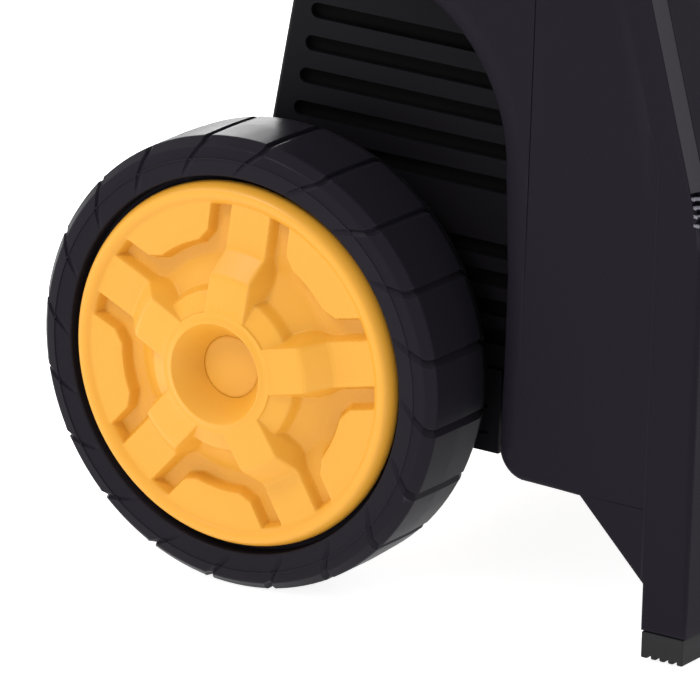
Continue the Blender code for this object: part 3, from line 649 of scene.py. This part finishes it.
def shell_outline():
    """Side view of a side shell: (y, z, edge rounding, chamfer) at closely set points."""
    arch_top = 278.0
    crown_y = front_y(BODY_TOP)
    tail_y = rear_y(arch_top + 15) - 3
    head_y = rear_y(BODY_TOP - 30) - 3
    line = [(FRONT_Y, FOOT_HEIGHT + GAP, 0, 2.0), (FRONT_Y, 110, 0, 3.0), (FRONT_Y, 190, 0, 2.0)]
    line += [(FRONT_Y, SLOPE_START, 12, 1.0, CHAMFER), (front_y(SLOPE_END), SLOPE_END, 60, 1.0, CHAMFER)]
    line.append((crown_y - 4, BODY_TOP - 30, 0, 1.0, CHAMFER))
    line += [(y, z, 0, 6.0) for y, z in arc(crown_y + 22, BODY_TOP - 24, 24, 160, 90, 10)]
    line += [(y, z, 0, 6.0) for y, z in arc(head_y - 26, BODY_TOP - 26, 26, 90, 10, 12)]
    line += [(y, z, 0, 7.0) for y, z in arc(tail_y - 14, arch_top + 14, 14, -8, -90, 8)]
    line.append((43, arch_top, 0, 14.0))
    line += [(y, z, 0, 20.0) for y, z in arc(35, 200, 78, 90, 180, 40)]
    line += [(COLUMN_REAR, 158, 60, 15.0), (COLUMN_REAR, 120, 0, 15.0)]
    corner = arc(COLUMN_REAR - 16, BODY_BOTTOM + 16, 16, 0, -90, 12)
    line += [(y, z, 0, 14.0 - i * 10 / 12) for i, (y, z) in enumerate(corner)]
    line += [(-80, BODY_BOTTOM, 0, 3.0), (-94.5, BODY_BOTTOM, 0, 1.5)]
    line += [(CREASE_Y, 33.3, 0, 2.0), (CREASE_Y, FOOT_HEIGHT + GAP, 0, 2.0)]
    turns = [np.array(point) for point in rounded([(*point, 0)[:5] for point in line], steps=8)]
    dense = []
    for start, end in zip(turns, turns[1:] + turns[:1]):
        pieces = int(np.linalg.norm((end - start)[:2]) / 4.0 + 0.999)
        dense += [start + (end - start) * k / pieces for k in range(pieces)]
    kept = [point for point, after in zip(dense, dense[1:] + dense[:1]) if np.hypot(*(after - point)[:2]) > 0.02]
    return np.array(kept)


def inset(flat, distance):
    """Moves the points of a closed outline inwards, all by one distance or each by its own."""
    before, after = np.roll(flat, 1, 0), np.roll(flat, -1, 0)
    area = (flat[:, 0] * after[:, 1] - after[:, 0] * flat[:, 1]).sum()
    first = flat - before
    second = after - flat
    first /= np.linalg.norm(first, axis=1)[:, None]
    second /= np.linalg.norm(second, axis=1)[:, None]
    normal = np.stack([-(first + second)[:, 1], (first + second)[:, 0]], 1) * np.sign(area)
    normal /= np.linalg.norm(normal, axis=1)[:, None]
    square = np.stack([-first[:, 1], first[:, 0]], 1) * np.sign(area)
    stretch = 1 / np.maximum(0.5, (normal * square).sum(1))
    return flat + normal * (distance * stretch)[:, None]


def edge_inset(edge, chamfer, depth):
    """How far a rounded or chamfered edge has come in at a depth under the outer face."""
    left = np.maximum(edge - depth, 0)
    return np.maximum(edge - np.sqrt(np.maximum(edge**2 - left**2, 0)), chamfer - depth)


def make_side_shell(side, sign):
    outline = shell_outline()
    flat, edge, chamfer = outline[:, :2], outline[:, 2], outline[:, 3]
    rings = []

    def add(distance, depth):
        rings.append(np.insert(inset(flat, distance), 0, sign * (BODY_HALF - depth), axis=1))

    width = BODY_HALF - SHELL_INNER
    for depth in (0, 0.1, 0.3, 0.7, 1.2, 1.9, 2.68, 3.7, 4.68, CHAMFER, 7.14, 10, 13.2, 16.5, 20, width - 0.4):
        add(edge_inset(edge, chamfer, depth), depth)
    add(0.4, width)
    for depth in (width, 20, 10, 5, WALL):
        inner = np.maximum(edge - WALL, 0)
        add(WALL + edge_inset(inner, np.maximum(chamfer - 2, 0), depth - WALL), depth)
    shell = skin("shell", rings)

    # Upright seam between the column and its rounded rear edge, fading out towards the bottom.
    seam = [(96, 0.02), (150, 0.10), (196, 0.4), (250, 0.45), (430, 0.45), (452, 0.02)]
    route = [(sign * BODY_HALF, -63.0, z) for z, _ in seam]
    section = [[(-0.3, 0.3), (-0.2, -deep), (0.2, -deep), (0.3, 0.3)] for _, deep in seam]
    cutters = [swept("seam", route, section, up=(sign, 0, 0))]
    # Line that carries the body's lower edge across the gusset.
    line = [(sign * BODY_HALF, y, 67.2) for y in (-99, -112, -127.5)]
    section = [[(-0.3, 0.2), (0, -deep), (0.3, 0.2)] for deep in (0.03, 0.25, 0.3)]
    cutters.append(swept("line", line, section, up=(sign, 0, 0)))
    # Gaps between the small ribs that wrap round the front edge.
    for z in LOUVRES:
        low, top = z + 0.85, z + 2.75
        back = -144.1 + (top - 210.1) * 0.29
        cutters.append(block("gap", span(sign, BODY_HALF + 1, BODY_HALF - 4.2), (FRONT_Y - 2, back), (low, top)))
        back = front_y(top) + 1.4
        cutters.append(block("gap", span(sign, BODY_HALF - 4.0, SHELL_INNER - 1), (FRONT_Y - 2, back), (low, top)))
    carve(shell, cutters)
    # Slight moulded ridge behind the leg, hooking rearward above the knee.
    climb = [(-127.5, 36, 0.05), (-127.5, 60, 0.28), (-127.5, 160, 0.3), (-127.5, 218, 0.32), (-127.0, 225, 0.35)]
    climb += [(-125.6, 230, 0.4), (-123.4, 234.5, 0.35), (-121.2, 238.5, 0.05)]
    route = [(sign * BODY_HALF, y, z) for y, z, _ in climb]
    ridge = [[(-0.5, -0.4), (-0.5, 0.01), (0, tall), (0.5, 0.01), (0.5, -0.4)] for _, _, tall in climb]
    carve(shell, [swept("ridge", route, ridge, up=(sign, 0, 0))], "UNION")
    smooth(shell, 28)
    return stand_in(shell, "side_shell_" + side)


def make_ribs_and_strips():
    """Ribs in the gaps that run round the knee of both shells and across the front; their pale grey is a painted
    highlight.
    """
    for i, z in enumerate(LOUVRES):
        front = front_y(z)
        back = -144.3 + (z - 210.1) * 0.29
        half = [(BODY_HALF - 0.6, back), (BODY_HALF - 0.1, back - 1.0), (BODY_HALF - 0.1, front + 5.0)]
        half += [(BODY_HALF - 5.0, front + 0.1), (SHELL_INNER + 0.4, front + 0.1)]
        half += [(SHELL_INNER - 0.3, front + 5.4), (SHELL_INNER - 3, front + 5.6)]
        flat = [(x, y, z) for x, y in half] + [(-x, y, z) for x, y in half[::-1]]
        # The ribs' pale grey is a painted highlight on their rounded faces.
        rib = swept(f"highlight_rib_{i + 1}", flat, [(0.75 * a, 0.8 * b) for a, b in disc(1, 10)], up=(0, 0, 1))
        finish_piece(rib, "grey_plastic", "machine", "rib_highlight_grey")
    for side, sign in SIDES:
        heights = (213, 240, 270, 300, 319, 326, 333, 370, 400, 432)
        half = CHAMFER / 2
        route = [(sign * (BODY_HALF - half), front_y(z) + half + 0.1, z) for z in heights]
        section = [(-3.2, -0.2), (3.2, -0.2), (3.2, 0.08), (1.6, 0.26), (-1.6, 0.26), (-3.2, 0.08)]
        # The strip's paler black is partly painted highlight along the chamfer.
        strip = swept("edge_strip_" + side, route, section, up=(sign, -1, 0))
        finish_piece(strip, "black_plastic", "machine", "satin_black_and_highlight")


def on_front(z):
    """Place on the front panel's face, for the knob and the cap."""
    return (0, front_y(z, FACE_RECESS), z)


def make_front_panel():
    half = SHELL_INNER - 0.06
    bottom = FOOT_HEIGHT + GAP
    top = BODY_TOP - 0.6
    low_y, bend_y, high_y = (front_y(z, FACE_RECESS) for z in (SLOPE_START, SLOPE_END, top))
    line = [(low_y, bottom, 0), (low_y, SLOPE_START, 14), (bend_y, SLOPE_END, 30), (high_y, top, 0)]
    line += [(high_y + WALL, top, 0), (bend_y + WALL + 0.5, SLOPE_END, 0)]
    line += [(low_y + WALL, SLOPE_START - 1, 0), (low_y + WALL, bottom, 0)]
    panel = prism("panel", rounded(line, steps=8), "X", -half, half)
    cutters = [block("arch", (-80, 80), (FRONT_Y - 5, CREASE_Y), (-5, 60), 12, segments=8)]
    cutters.append(turned("hole", [(9, -20), (9, 20)], on_front(KNOB_Z), KNOB_TILT))
    cutters.append(turned("hole", [(19, -20), (19, 20)], on_front(CAP_Z), CAP_TILT))
    for sign in (-1, 1):
        cutters.append(turned("hole", [(13, -20), (13, 20)], (sign * PORT_X, -141, PORT_Z), (90, 0, 0)))
    for z in LOUVRES:
        cutters.append(block("gap", (-half - 1, half + 1), (-150, low_y + 1.4), (z + 0.85, z + 2.75)))
    carve(panel, cutters)
    walls = [block("wall", span(sign, 80.01, 80 + WALL), (low_y + 1, CREASE_Y), (bottom, 68)) for sign in (-1, 1)]
    carve(panel, walls, "UNION")
    # Shallow frames round the hose ports and the detergent cap.
    wide, groove = 72, 1.6
    for low, high in ((72, 140), (225, 322)):
        middle = (low + high) / 2
        outline = rectangle((-wide, wide), (low, high), 10, 6)
        outer = prism("frame", outline, "Y", -30, 0.9)
        inner_line = [(x * (1 - groove / wide), z + (groove if z < middle else -groove)) for x, z in outline]
        carve(outer, [prism("frame", inner_line, "Y", -40, 10)])
        if high > SLOPE_START:
            placed(outer, (0, 0, -middle))
            placed(outer, (0, 0, middle), (-SLOPE, 0, 0))
        placed(outer, (0, front_y(middle, FACE_RECESS), 0))
        carve(panel, [outer])
    soften(panel, 0.5, 2)
    return stand_in(panel, "front_panel")


def make_rear_cover():
    top = BODY_TOP - 1
    front_low = -95.0
    shoulder = 300.0
    inner_y = 18.0

    def side_view(wall, past):
        low, high, front = COVER_BOTTOM - past, top + past, front_low - past
        view = [(REAR_FOOT_Y - wall, low), (rear_y(top) - wall, high), (inner_y - past, high)]
        return view + [(inner_y - past, shoulder + past), (front, shoulder + past), (front, low)]

    cover = prism("cover", side_view(0, 0), "X", -COVER_HALF, COVER_HALF)
    # Only the two long back corners are rounded at this stage.
    worked = bmesh.new()
    worked.from_mesh(cover.data)
    ends = {edge: [v.co for v in edge.verts] for edge in worked.edges}
    long_edges = [edge for edge, (a, b) in ends.items() if min(a.y, b.y) > 0.04 and abs(a.z - b.z) > 0.1]
    bmesh.ops.bevel(worked, geom=long_edges, offset=3.0 * MM, segments=4, affect="EDGES", profile=0.5)
    worked.to_mesh(cover.data)
    worked.free()
    inside = COVER_HALF - COVER_WALL
    cutters = [prism("room", side_view(COVER_WALL, 5), "X", -inside, inside)]
    radius = SLOT_HEIGHT / 2
    heights = [FIRST_UPPER_SLOT + i * SLOT_PITCH for i in range(UPPER_SLOTS)]
    heights += [FIRST_LOWER_SLOT + i * LOWER_PITCH for i in range(LOWER_SLOTS)]
    for z in heights:
        ends = arc(rear_y(z) - 11 - radius, z, radius, -90, 90, 10) + arc(-80, z, radius, 90, 270, 10)
        cutters.append(prism("slot", ends, "X", -COVER_HALF - 9, COVER_HALF + 9))
    axle = (0, AXLE_Y, TYRE_RADIUS)
    cutters.append(turned("axle_room", [(7, -130), (7, 130)], axle, (0, 90, 0), steps=32))
    cutters.append(turned("gland_room", [(8.5, -20), (8.5, 20)], (55, rear_y(150), 150), (90, 0, 0), steps=32))
    # Louvres and two long ribs on the back.
    for i in range(6):
        z = 262.0 + i * 13
        cutters.append(block("louvre", (-62, 62), (rear_y(z) - 9, rear_y(z) + 9), (z - 2, z + 2), 1.9, segments=4))
    middle = 285.0
    for x in (-78, 78):
        rib = block("groove", (x - 1.5, x + 1.5), (-0.9, 6), (-165, 165))
        cutters.append(placed(rib, (0, rear_y(middle), middle), (REAR_LEAN, 0, 0)))
    carve(cover, cutters)
    soften(cover, 0.5, 2)
    # The cover's darker black is partly painted shade.
    stand_in(cover, "rear_cover", "cover_black_and_shade")


def make_shade_sheets():
    """Painted shade: near-black sheets inside the rear cover that stand in for the shade behind the slots and keep the
    motor room out of sight.
    """
    outline = [(-88, 104.5), (96, 104.5), (rear_y(298) - 8, 298), (-88, 298)]
    for side, sign in SIDES:
        shade_sheet = prism("shade_sheet_" + side, outline, "X", *span(sign, 94.0, 94.8))
        finish_piece(shade_sheet, "dark_plastic", "machine", "painted_shade_black")
    outline = [(rear_y(z) - depth, z) for z, depth in ((250, 9.8), (250, 9.0), (345, 9.0), (345, 9.8))]
    finish_piece(prism("shade_sheet_back", outline, "X", -66, 66), "dark_plastic", "machine", "painted_shade_black")


def make_chassis():
    outline = [(TONGUE_HALF, TONGUE_FRONT), (TONGUE_HALF, CHASSIS_FRONT), (CHASSIS_HALF, CHASSIS_FRONT)]
    outline = [(-x, y) for x, y in outline[::-1]] + outline
    outline += [(CHASSIS_HALF, REAR_FOOT_Y + 3), (-CHASSIS_HALF, REAR_FOOT_Y + 3)]
    chassis = prism("chassis", outline, "Z", CHASSIS_BOTTOM, CHASSIS_TOP)
    inner = (-CHASSIS_HALF + WALL, CHASSIS_HALF - WALL)
    tongue = (-TONGUE_HALF + WALL, TONGUE_HALF - WALL)
    cutters = [
        block("room", inner, (CHASSIS_FRONT + WALL, REAR_FOOT_Y), (CHASSIS_BOTTOM + 4, 120)),
        block("room", tongue, (TONGUE_FRONT + WALL, CHASSIS_FRONT + 5), (TONGUE_BOTTOM + 4, 120)),
        block("room", (-95, 95), (-150, CHASSIS_FRONT - 2), (50, TONGUE_BOTTOM)),
        block("room", (-70, 70), (-150, -130), (85, 120)),
    ]
    for sign in (-1, 1):
        x = span(sign, CHASSIS_HALF - 0.8, CHASSIS_HALF + 2)
        for z in (72.0, 84.0):
            cutters.append(block("groove", x, (CHASSIS_FRONT + 6, REAR_FOOT_Y - 4), (z, z + 2)))
    carve(chassis, cutters)
    seats = [block("cradle", (x - 3, x + 3), (AXLE_Y - 14, AXLE_Y + 14), (66, 101)) for x in (-70, 70)]
    seats.append(turned("seat", [(30, 66), (30, 81)], (0, SHAFT_Y, 0)))
    carve(chassis, seats, "UNION")
    bore = [(AXLE_HOLE, -130), (AXLE_HOLE, 130)]
    carve(chassis, [turned("bore", bore, (0, AXLE_Y, TYRE_RADIUS), (0, 90, 0), steps=32)])
    soften(chassis, 0.9, 3)
    # The chassis' darker black is partly painted shade.
    stand_in(chassis, "chassis", "cover_black_and_shade")


def make_top_cover():
    plan_y = (41.0, front_y(BODY_TOP) + 4)
    base = BODY_TOP + GAP
    half = BODY_HALF - 1
    plan = np.array(rectangle((half, -half), plan_y, 20, 12))
    layers = [(0.5, 0.0), (0.0, 0.5), (0.0, 16.0), (0.8, 16.8), (0.8, 17.8), (0.2, 18.6)]
    layers += [(0.2 + 17.0 * (1 - cos(a)), 18.6 + 12.9 * sin(a)) for a in np.radians([12, 24, 36, 48, 60, 72, 82, 90])]
    cover = skin("top", layered(plan, [(inward, base + z) for inward, z in layers]))
    cutters = [prism("room", inset(plan, WALL + 8.0), "Z", base - 5, base + 24)]
    cutters += [turned("hole", [(15.5, 0), (15.5, 60)], (x, HANDLE_Y, base - 10)) for x in (-HANDLE_X, HANDLE_X)]
    # A shallow tray for small parts in the middle.
    cutters.append(prism("tray", rectangle((-52, 52), (-62, 4), 12), "Z", base + 28.5, base + 50))
    carve(cover, cutters)
    soften(cover, 0.6, 2, angle=45)
    stand_in(cover, "top_cover")


def make_feet():
    for side, sign in SIDES:
        x = span(sign, 83.0, BODY_HALF - 1)
        low, high = FRONT_Y + 1, CREASE_Y - 0.5
        foot = block("foot", x, (low, high), (0, FOOT_HEIGHT))
        cuts = [block("cut", (x[0] - 5, x[1] + 5), (y, y + 1.6), (-3, 1.5)) for y in np.linspace(low + 3, high - 5, 4)]
        carve(foot, cuts)
        soften(foot, 0.7, 3)
        plug = block("plug", span(sign, 86.0, 128.0), (FRONT_Y + 10, CREASE_Y - 3.5), (5, FOOT_HEIGHT + 8))
        carve(foot, [plug], "UNION")
        smooth(foot, 40)
        stand_in(foot, "foot_" + side)


# ---- handle


def make_handle():
    for side, sign in SIDES:
        at = (sign * HANDLE_X, HANDLE_Y, TUBE_BOTTOM)
        length = TUBE_TOP - TUBE_BOTTOM
        profile = [(TUBE_RADIUS, 0), (TUBE_RADIUS, length), (TUBE_RADIUS - 1.5, length), (TUBE_RADIUS - 1.5, 0)]
        tube = turned("tube", profile, at, steps=64, loop=True, soft=0.4)
        stand_in(tube, "handle_tube_" + side)
        low = BODY_TOP + 1
        collar = BODY_TOP + 32.2
        sleeve = [(TUBE_RADIUS + GAP, low), (15, low), (15, collar), (19, collar), (19, collar + 2.8)]
        sleeve += [(17, collar + 4.8), (TUBE_RADIUS + GAP, collar + 4.8)]
        piece = turned("sleeve", sleeve, (sign * HANDLE_X, HANDLE_Y, 0), steps=64, loop=True, soft=0.6)
        stand_in(piece, "handle_sleeve_" + side)

    end = HANDLE_X + GRIP_RADIUS + 3
    half_bar = [(6.0, -end), (9.0, 0.6 - end), (12.0, 2.4 - end), (14.2, 5 - end), (GRIP_RADIUS, 8.5 - end)]
    for i in range(8):
        start = -66 + i * 5.0
        half_bar += [(GRIP_RADIUS - d, start + h) for d, h in ((0, 0), (0.7, 0.6), (0.7, 1.4), (0, 2.0))]
    profile = half_bar + [(r, -h) for r, h in reversed(half_bar)]
    grip = turned("grip", profile, (0, HANDLE_Y, GRIP_Z), (0, 90, 0), sharp=30)
    tubes = [(x, HANDLE_Y, 0) for x in (-HANDLE_X, HANDLE_X)]
    neck = [(14.0, 545), (14.5, 545.6), (14.5, 560), (14.5, GRIP_Z)]
    carve(grip, [turned("socket", neck, at) for at in tubes], "UNION")
    bore = [(TUBE_RADIUS + GAP, 540), (TUBE_RADIUS + GAP, TUBE_TOP + GAP)]
    cutters = [turned("bore", bore, at) for at in tubes]
    pocket = prism("pocket", rectangle((-21, 21), (-8.5, 8.5), 5.4), "Z", 2, 25)
    cutters.append(placed(pocket, (0, HANDLE_Y, GRIP_Z)))
    carve(grip, cutters)
    smooth(grip, 32)
    stand_in(grip, "handle_grip")

    layers = ((0, 7.5), (0, 14.4), (0.3, 15.3), (1.0, 15.9), (2.0, 16.2))
    button = skin("button", layered(rectangle((-20.5, 20.5), (-8, 8), 5), layers))
    cuts = [block("cut", (x - 0.7, x + 0.7), (-5.2, 5.2), (15.5, 18)) for x in (-9, -6, -3, 0, 3, 6, 9)]
    carve(button, cuts)
    smooth(placed(button, (0, HANDLE_Y, GRIP_Z)), 32)
    stand_in(button, "handle_button")


# ---- controls and connections


def lobed(name, profile, lobes, depth, at, tilt, steps=6):
    """A turned piece whose grip rows, marked by a third value of 1, have finger lobes."""
    count = lobes * steps
    angles = np.linspace(0, 2 * pi, count, endpoint=False)
    grid = []
    for radius, height, grip in profile:
        wave = radius - grip * depth * (0.5 + 0.5 * np.cos(lobes * angles)) ** 3
        grid.append(np.stack([wave * np.cos(angles), wave * np.sin(angles), height + 0 * angles], 1))
    return placed(skin(name, grid), at, tilt)


def make_controls():
    at, tilt = on_front(KNOB_Z), KNOB_TILT
    bezel = [(28.8, GAP), (37, GAP), (37, 3.4), (35.4, 5.0), (31, 5.0), (30.2, 4.0), (28.8, 4.0)]
    stand_in(turned("bezel", bezel, at, tilt, steps=96, loop=True, soft=0.4), "switch_bezel")
    skirt = [(6, -9, 0), (6, 1.0, 0), (26.4, 1.1, 0), (27.4, 1.8, 0.3), (28.0, 4.5, 1), (27.6, 8.0, 1), (26.8, 10.6, 1)]
    skirt += [(25.6, 11.6, 0.4), (24.0, 12.0, 0), (10.0, 12.0, 0)]
    knob = lobed("knob", skirt, 24, 1.0, at, tilt)
    long = 25.5
    layers = ((-0.6, 10.0), (0.0, 13.0), (0.3, 18.6), (0.8, 20.2), (1.8, 21.0))
    rings = layered(rectangle((-5, 5), (-long, long), 4.8), layers)
    rings[..., 1] = np.clip(rings[..., 1], -long, long)
    bar = placed(skin("bar", rings), at, tilt)
    carve(knob, [bar], "UNION")
    carve(knob, [block("cut", (-1.1, 1.1), (7, 24), (20.2, 23), 0, at, tilt)])
    smooth(knob, 32)
    stand_in(knob, "switch_knob")
    pointer = block("knob_pointer", (-0.95, 0.95), (7.2, 23.8), (20.15, 20.95), 0.2, at, tilt, segments=2)
    finish_piece(pointer, "grey_plastic", "switch_knob", "white_mark")

    # Off and on marks of the dial, in relief on the bezel: a ring and a bar, with dots between.
    circle = 33.1
    off = [(1.5 + 0.35 * cos(a), 5.0 + 0.35 * sin(a)) for a in np.radians([-90, -30, 30, 90, 150, 210])]
    marks = [turned("mark", off, (0, circle, 0), steps=24, loop=True)]
    marks.append(block("mark", (-34.8, -31.4), (-0.4, 0.4), (4.7, 5.3)))
    for a in np.radians([112.5, 135, 157.5]):
        place = (circle * cos(a), circle * sin(a), 0)
        marks.append(turned("mark", [(0.5, 4.7), (0.5, 5.2), (0.3, 5.3)], place, steps=12))
    dial = placed(merged("dial_marks", marks), at, tilt)
    smooth(dial)
    finish_piece(dial, "grey_plastic", "machine", "white_mark")

    at, tilt = on_front(CAP_Z), CAP_TILT
    outer = [(16.6, 1.0, 0), (21.4, 1.0, 0), (22.6, 2.0, 0), (23.0, 3.2, 0.6), (23.0, 6.0, 1), (23.0, 10.5, 1)]
    outer += [(22.6, 12.4, 0.8), (21.4, 13.8, 0.2), (19.6, 14.5, 0), (16.0, 14.5, 0), (15.4, 14.0, 0), (14.8, 14.0, 0)]
    outer.append((3.0, 14.2, 0))
    cap = lobed("cap", outer, 28, 0.9, at, tilt)
    carve(cap, [turned("room", [(16.6, -5), (16.6, 9.6)], at, tilt)])
    smooth(cap, 32)
    stand_in(cap, "detergent_cap")

    front = FRONT_Y + FACE_RECESS
    inlet = [(12.4, -22), (12.4, 1.5), (17, 1.5), (17, 5), (11, 5), (11, 8), (10.2, 8.6), (10.2, 10.2), (11, 10.8)]
    inlet += [(11, 13), (10.2, 13.6), (10.2, 15.2), (11, 15.8), (11, 19), (8.5, 21), (7.5, 21), (7.5, -22)]
    piece = turned("inlet", inlet, (-PORT_X, front, PORT_Z), (90, 0, 0), loop=True, soft=0.25)
    stand_in(piece, "water_inlet")
    outlet = [(6.5, -22), (12.4, -22), (12.4, 1.5), (16, 1.5), (16, 6), (10.8, 7)]
    for i in range(8):
        low = 8.2 + i * 1.5
        outlet += [(10.8, low), (9.9, low + 0.75)]
    outlet += [(10.8, 20.2), (10.2, 21), (6.5, 21)]
    piece = turned("outlet", outlet, (PORT_X, front, PORT_Z), (90, 0, 0), loop=True, sharp=25)
    stand_in(piece, "water_outlet")
    gland = [(5, -16), (8, -16), (8, 0.8), (12, 0.8), (12, 6)]
    for i in range(4):
        low = 7.5 + i * 3.0
        wide = 11.0 - i * 0.9
        gland += [(wide, low), (wide, low + 1.6), (wide - 1.0, low + 1.8), (wide - 1.0, low + 2.8)]
    gland += [(7.5, 20), (5, 20)]
    piece = turned("gland", gland, (55, rear_y(150) + 1.2, 150), (-90, 0, 0), loop=True, soft=0.2)
    stand_in(piece, "cable_gland")


def rod(name, route, radius=5.0):
    """A round bar with a domed far end."""
    route = np.array(route)
    last = route[-1]
    ahead = (last - route[-2]) / np.linalg.norm(last - route[-2])
    dome = np.radians([0, 25, 50, 72, 88])
    points = [*route[:-1], *(last + ahead * (radius * (sin(a) - 1)) for a in dome)]
    scale = [1.0] * (len(route) - 1) + [max(0.06, cos(a)) for a in dome]
    ring = np.array(disc(radius, 20))
    return swept(name, points, [ring * s for s in scale], up=(1, 0, 0))


def make_holders():
    for name, z, upward in (("cable_hook_fixed", 215.0, -1), ("cable_hook_swivel", 385.0, 1)):
        start = rear_y(z) + 0.9
        tip = 14 * upward
        route = [(0, start, z), (0, start + 22, z), (0, start + 30, z + tip * 0.25), (0, start + 33, z + tip)]
        route.append((0, start + 33.5, z + tip * 2))
        arm = rod(name, bend(route, 6))
        flange = [(11, 0.0), (11, 2.0), (9.5, 3.2), (6.0, 4.5), (4.6, 7.0)]
        carve(arm, [turned("base", flange, (0, start - 0.2, z), (-90, 0, 0))], "UNION")
        smooth(arm, 35)
        stand_in(arm, name)
    for name, y, z in (("gun_holder", -40.0, 330.0), ("lance_cup", -92.0, 180.0)):
        x = BODY_HALF + 20
        wall = [(12, z - 20), (16, z - 20), (16.6, z - 8), (18, z + 20), (14, z + 20), (12.4, z - 8)]
        cup = turned("cup", wall, (x, y, 0), loop=True)
        plate = block("plate", (BODY_HALF + GAP, BODY_HALF + 6), (y - 14, y + 14), (z - 20, z + 20), 1.2)
        carve(cup, [plate], "UNION")
        carve(cup, [turned("bore", [(12.6, z - 30), (13.6, z + 30)], (x, y, 0))])
        soften(cup, 0.6, 2)
        stand_in(cup, name)


def make_springs():
    """Round-wire return springs under the piston collars, each with a mesh of its own."""
    coil, wire = 8.0, 0.9
    turns = np.linspace(0, 7 * pi, 127)
    rise = SPRING_LOW + (SPRING_HIGH - SPRING_LOW) * turns / turns[-1]
    for k in range(PISTONS):
        angle = 2 * pi * k / PISTONS + pi / 2
        x, y = PISTON_CIRCLE * cos(angle), PISTON_CIRCLE * sin(angle) + SHAFT_Y
        route = np.column_stack([x + coil * np.cos(turns), y + coil * np.sin(turns), rise])
        spring = stand_in(swept("spring", route, disc(wire, 10), up=(0, 0, 1)), f"piston_spring_{k + 1}")
        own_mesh(spring)


def make_screws():
    """Cross-head screws that hold the rear cover and the chassis."""
    model = turned("screw", [(3.6, -1.0), (3.6, 0.3), (3.1, 1.0), (2.0, 1.5), (0.8, 1.6)], steps=32)
    narrow, wide = (-0.45, 0.45), (-2.0, 2.0)
    carve(model, [block("slot", narrow, wide, (0.5, 3)), block("slot", wide, narrow, (0.5, 3))])
    smooth(model, 30)
    places = []
    for x in (-88, 88):
        places += [((x, rear_y(z), z), (-90 + REAR_LEAN, 0, 0)) for z in (128.0, 240.0, 356.0, 448.0)]
        places.append(((x, REAR_FOOT_Y + 3, 84), (-90, 0, 0)))
    for i, (at, tilt) in enumerate(places):
        screw = placed(added(f"screw_{i + 1}", model.data.copy()), at, tilt)
        finish_piece(screw, "steel", "machine")
    bpy.data.objects.remove(model, do_unlink=True)


# ---- stage


def make_camera():
    """Long lens from the front left, a little above, aimed so that the left wheel sits left of centre."""
    azimuth, elevation, roll = radians(-57.921), radians(18.258), radians(2.018)
    back = Vector((sin(azimuth) * cos(elevation), -cos(azimuth) * cos(elevation), sin(elevation)))
    level = Vector((cos(azimuth), sin(azimuth), 0))
    upright = back.cross(level)
    right = level * cos(roll) + upright * sin(roll)
    up = upright * cos(roll) - level * sin(roll)
    aim = Vector((-RIM_X, AXLE_Y, TYRE_RADIUS)) + right * 49.85 + up * 6.5
    data = bpy.data.cameras.new("camera")
    data.sensor_width = 36.0
    data.lens = 629.14
    data.clip_start, data.clip_end = 0.5, 60.0
    camera = added("camera", data)
    turn = Matrix((right, up, back)).transposed().to_4x4()
    camera.matrix_world = Matrix.Translation((aim + back * 5303.0) * MM) @ turn
    bpy.context.scene.camera = camera
    return right, up, back


def area_light(name, place, target, size, power):
    data = bpy.data.lights.new(name, "AREA")
    data.shape = "DISK"
    data.size = size
    data.energy = power
    light = added(name, data)
    light.location = place
    light.rotation_euler = (target - place).to_track_quat("-Z", "Y").to_euler()


def make_stage(right, up, back):
    reach = (-4e4, 4e4)
    floor = to_mesh("floor", corners(reach, reach, 0), [[0, 1, 2, 3]])
    floor.location.z = (TYRE_RADIUS - TREAD_RADIUS - 0.2) * MM
    pale = bpy.data.materials.new("pale_floor")
    pale.use_nodes = True
    sockets = pale.node_tree.nodes["Principled BSDF"].inputs
    sockets["Base Color"].default_value = (0.8, 0.8, 0.8, 1)
    sockets["Roughness"].default_value = 0.8
    sockets["Specular IOR Level"].default_value = 0.0
    sockets["Emission Color"].default_value = (1, 1, 1, 1)
    sockets["Emission Strength"].default_value = 0.85
    floor.data.materials.append(pale)

    world = bpy.data.worlds.new("studio")
    world.use_nodes = True
    backdrop = world.node_tree.nodes["Background"].inputs
    backdrop["Color"].default_value = (1, 1, 1, 1)
    backdrop["Strength"].default_value = 1.0
    bpy.context.scene.world = world

    centre = Vector((-0.1, 0.0, 0.2))
    area_light("key", centre + (back * 1.6 - right * 1.7 + up * 1.9), centre, 0.9, 36.0)
    area_light("rear", centre + Vector((-0.6, 2.2, 1.6)), centre, 1.2, 12.0)
    area_light("low", centre + Vector((0.80, 0.58, 0.14)) * 2.6, centre, 0.8, 12.0)
    bpy.context.scene.view_settings.view_transform = "Standard"
    bpy.context.scene.view_settings.look = "None"


# ---- all of it

make_stage(*make_camera())
make_wheels()
for shell_side, shell_sign in SIDES:
    make_side_shell(shell_side, shell_sign)
make_ribs_and_strips()
make_front_panel()
make_rear_cover()
make_shade_sheets()
make_chassis()
make_top_cover()
make_feet()
make_handle()
make_controls()
make_holders()
make_springs()
make_screws()

for node_name, node_object in frame["nodes"].items():
    for place in node_object.material_slots:
        place.material = LOOKS[slot_of[node_name]]
    if not node_object.material_slots:
        node_object.data.materials.append(LOOKS[slot_of[node_name]])
    node_object.data.shade_smooth()

bpy.context.view_layer.update()
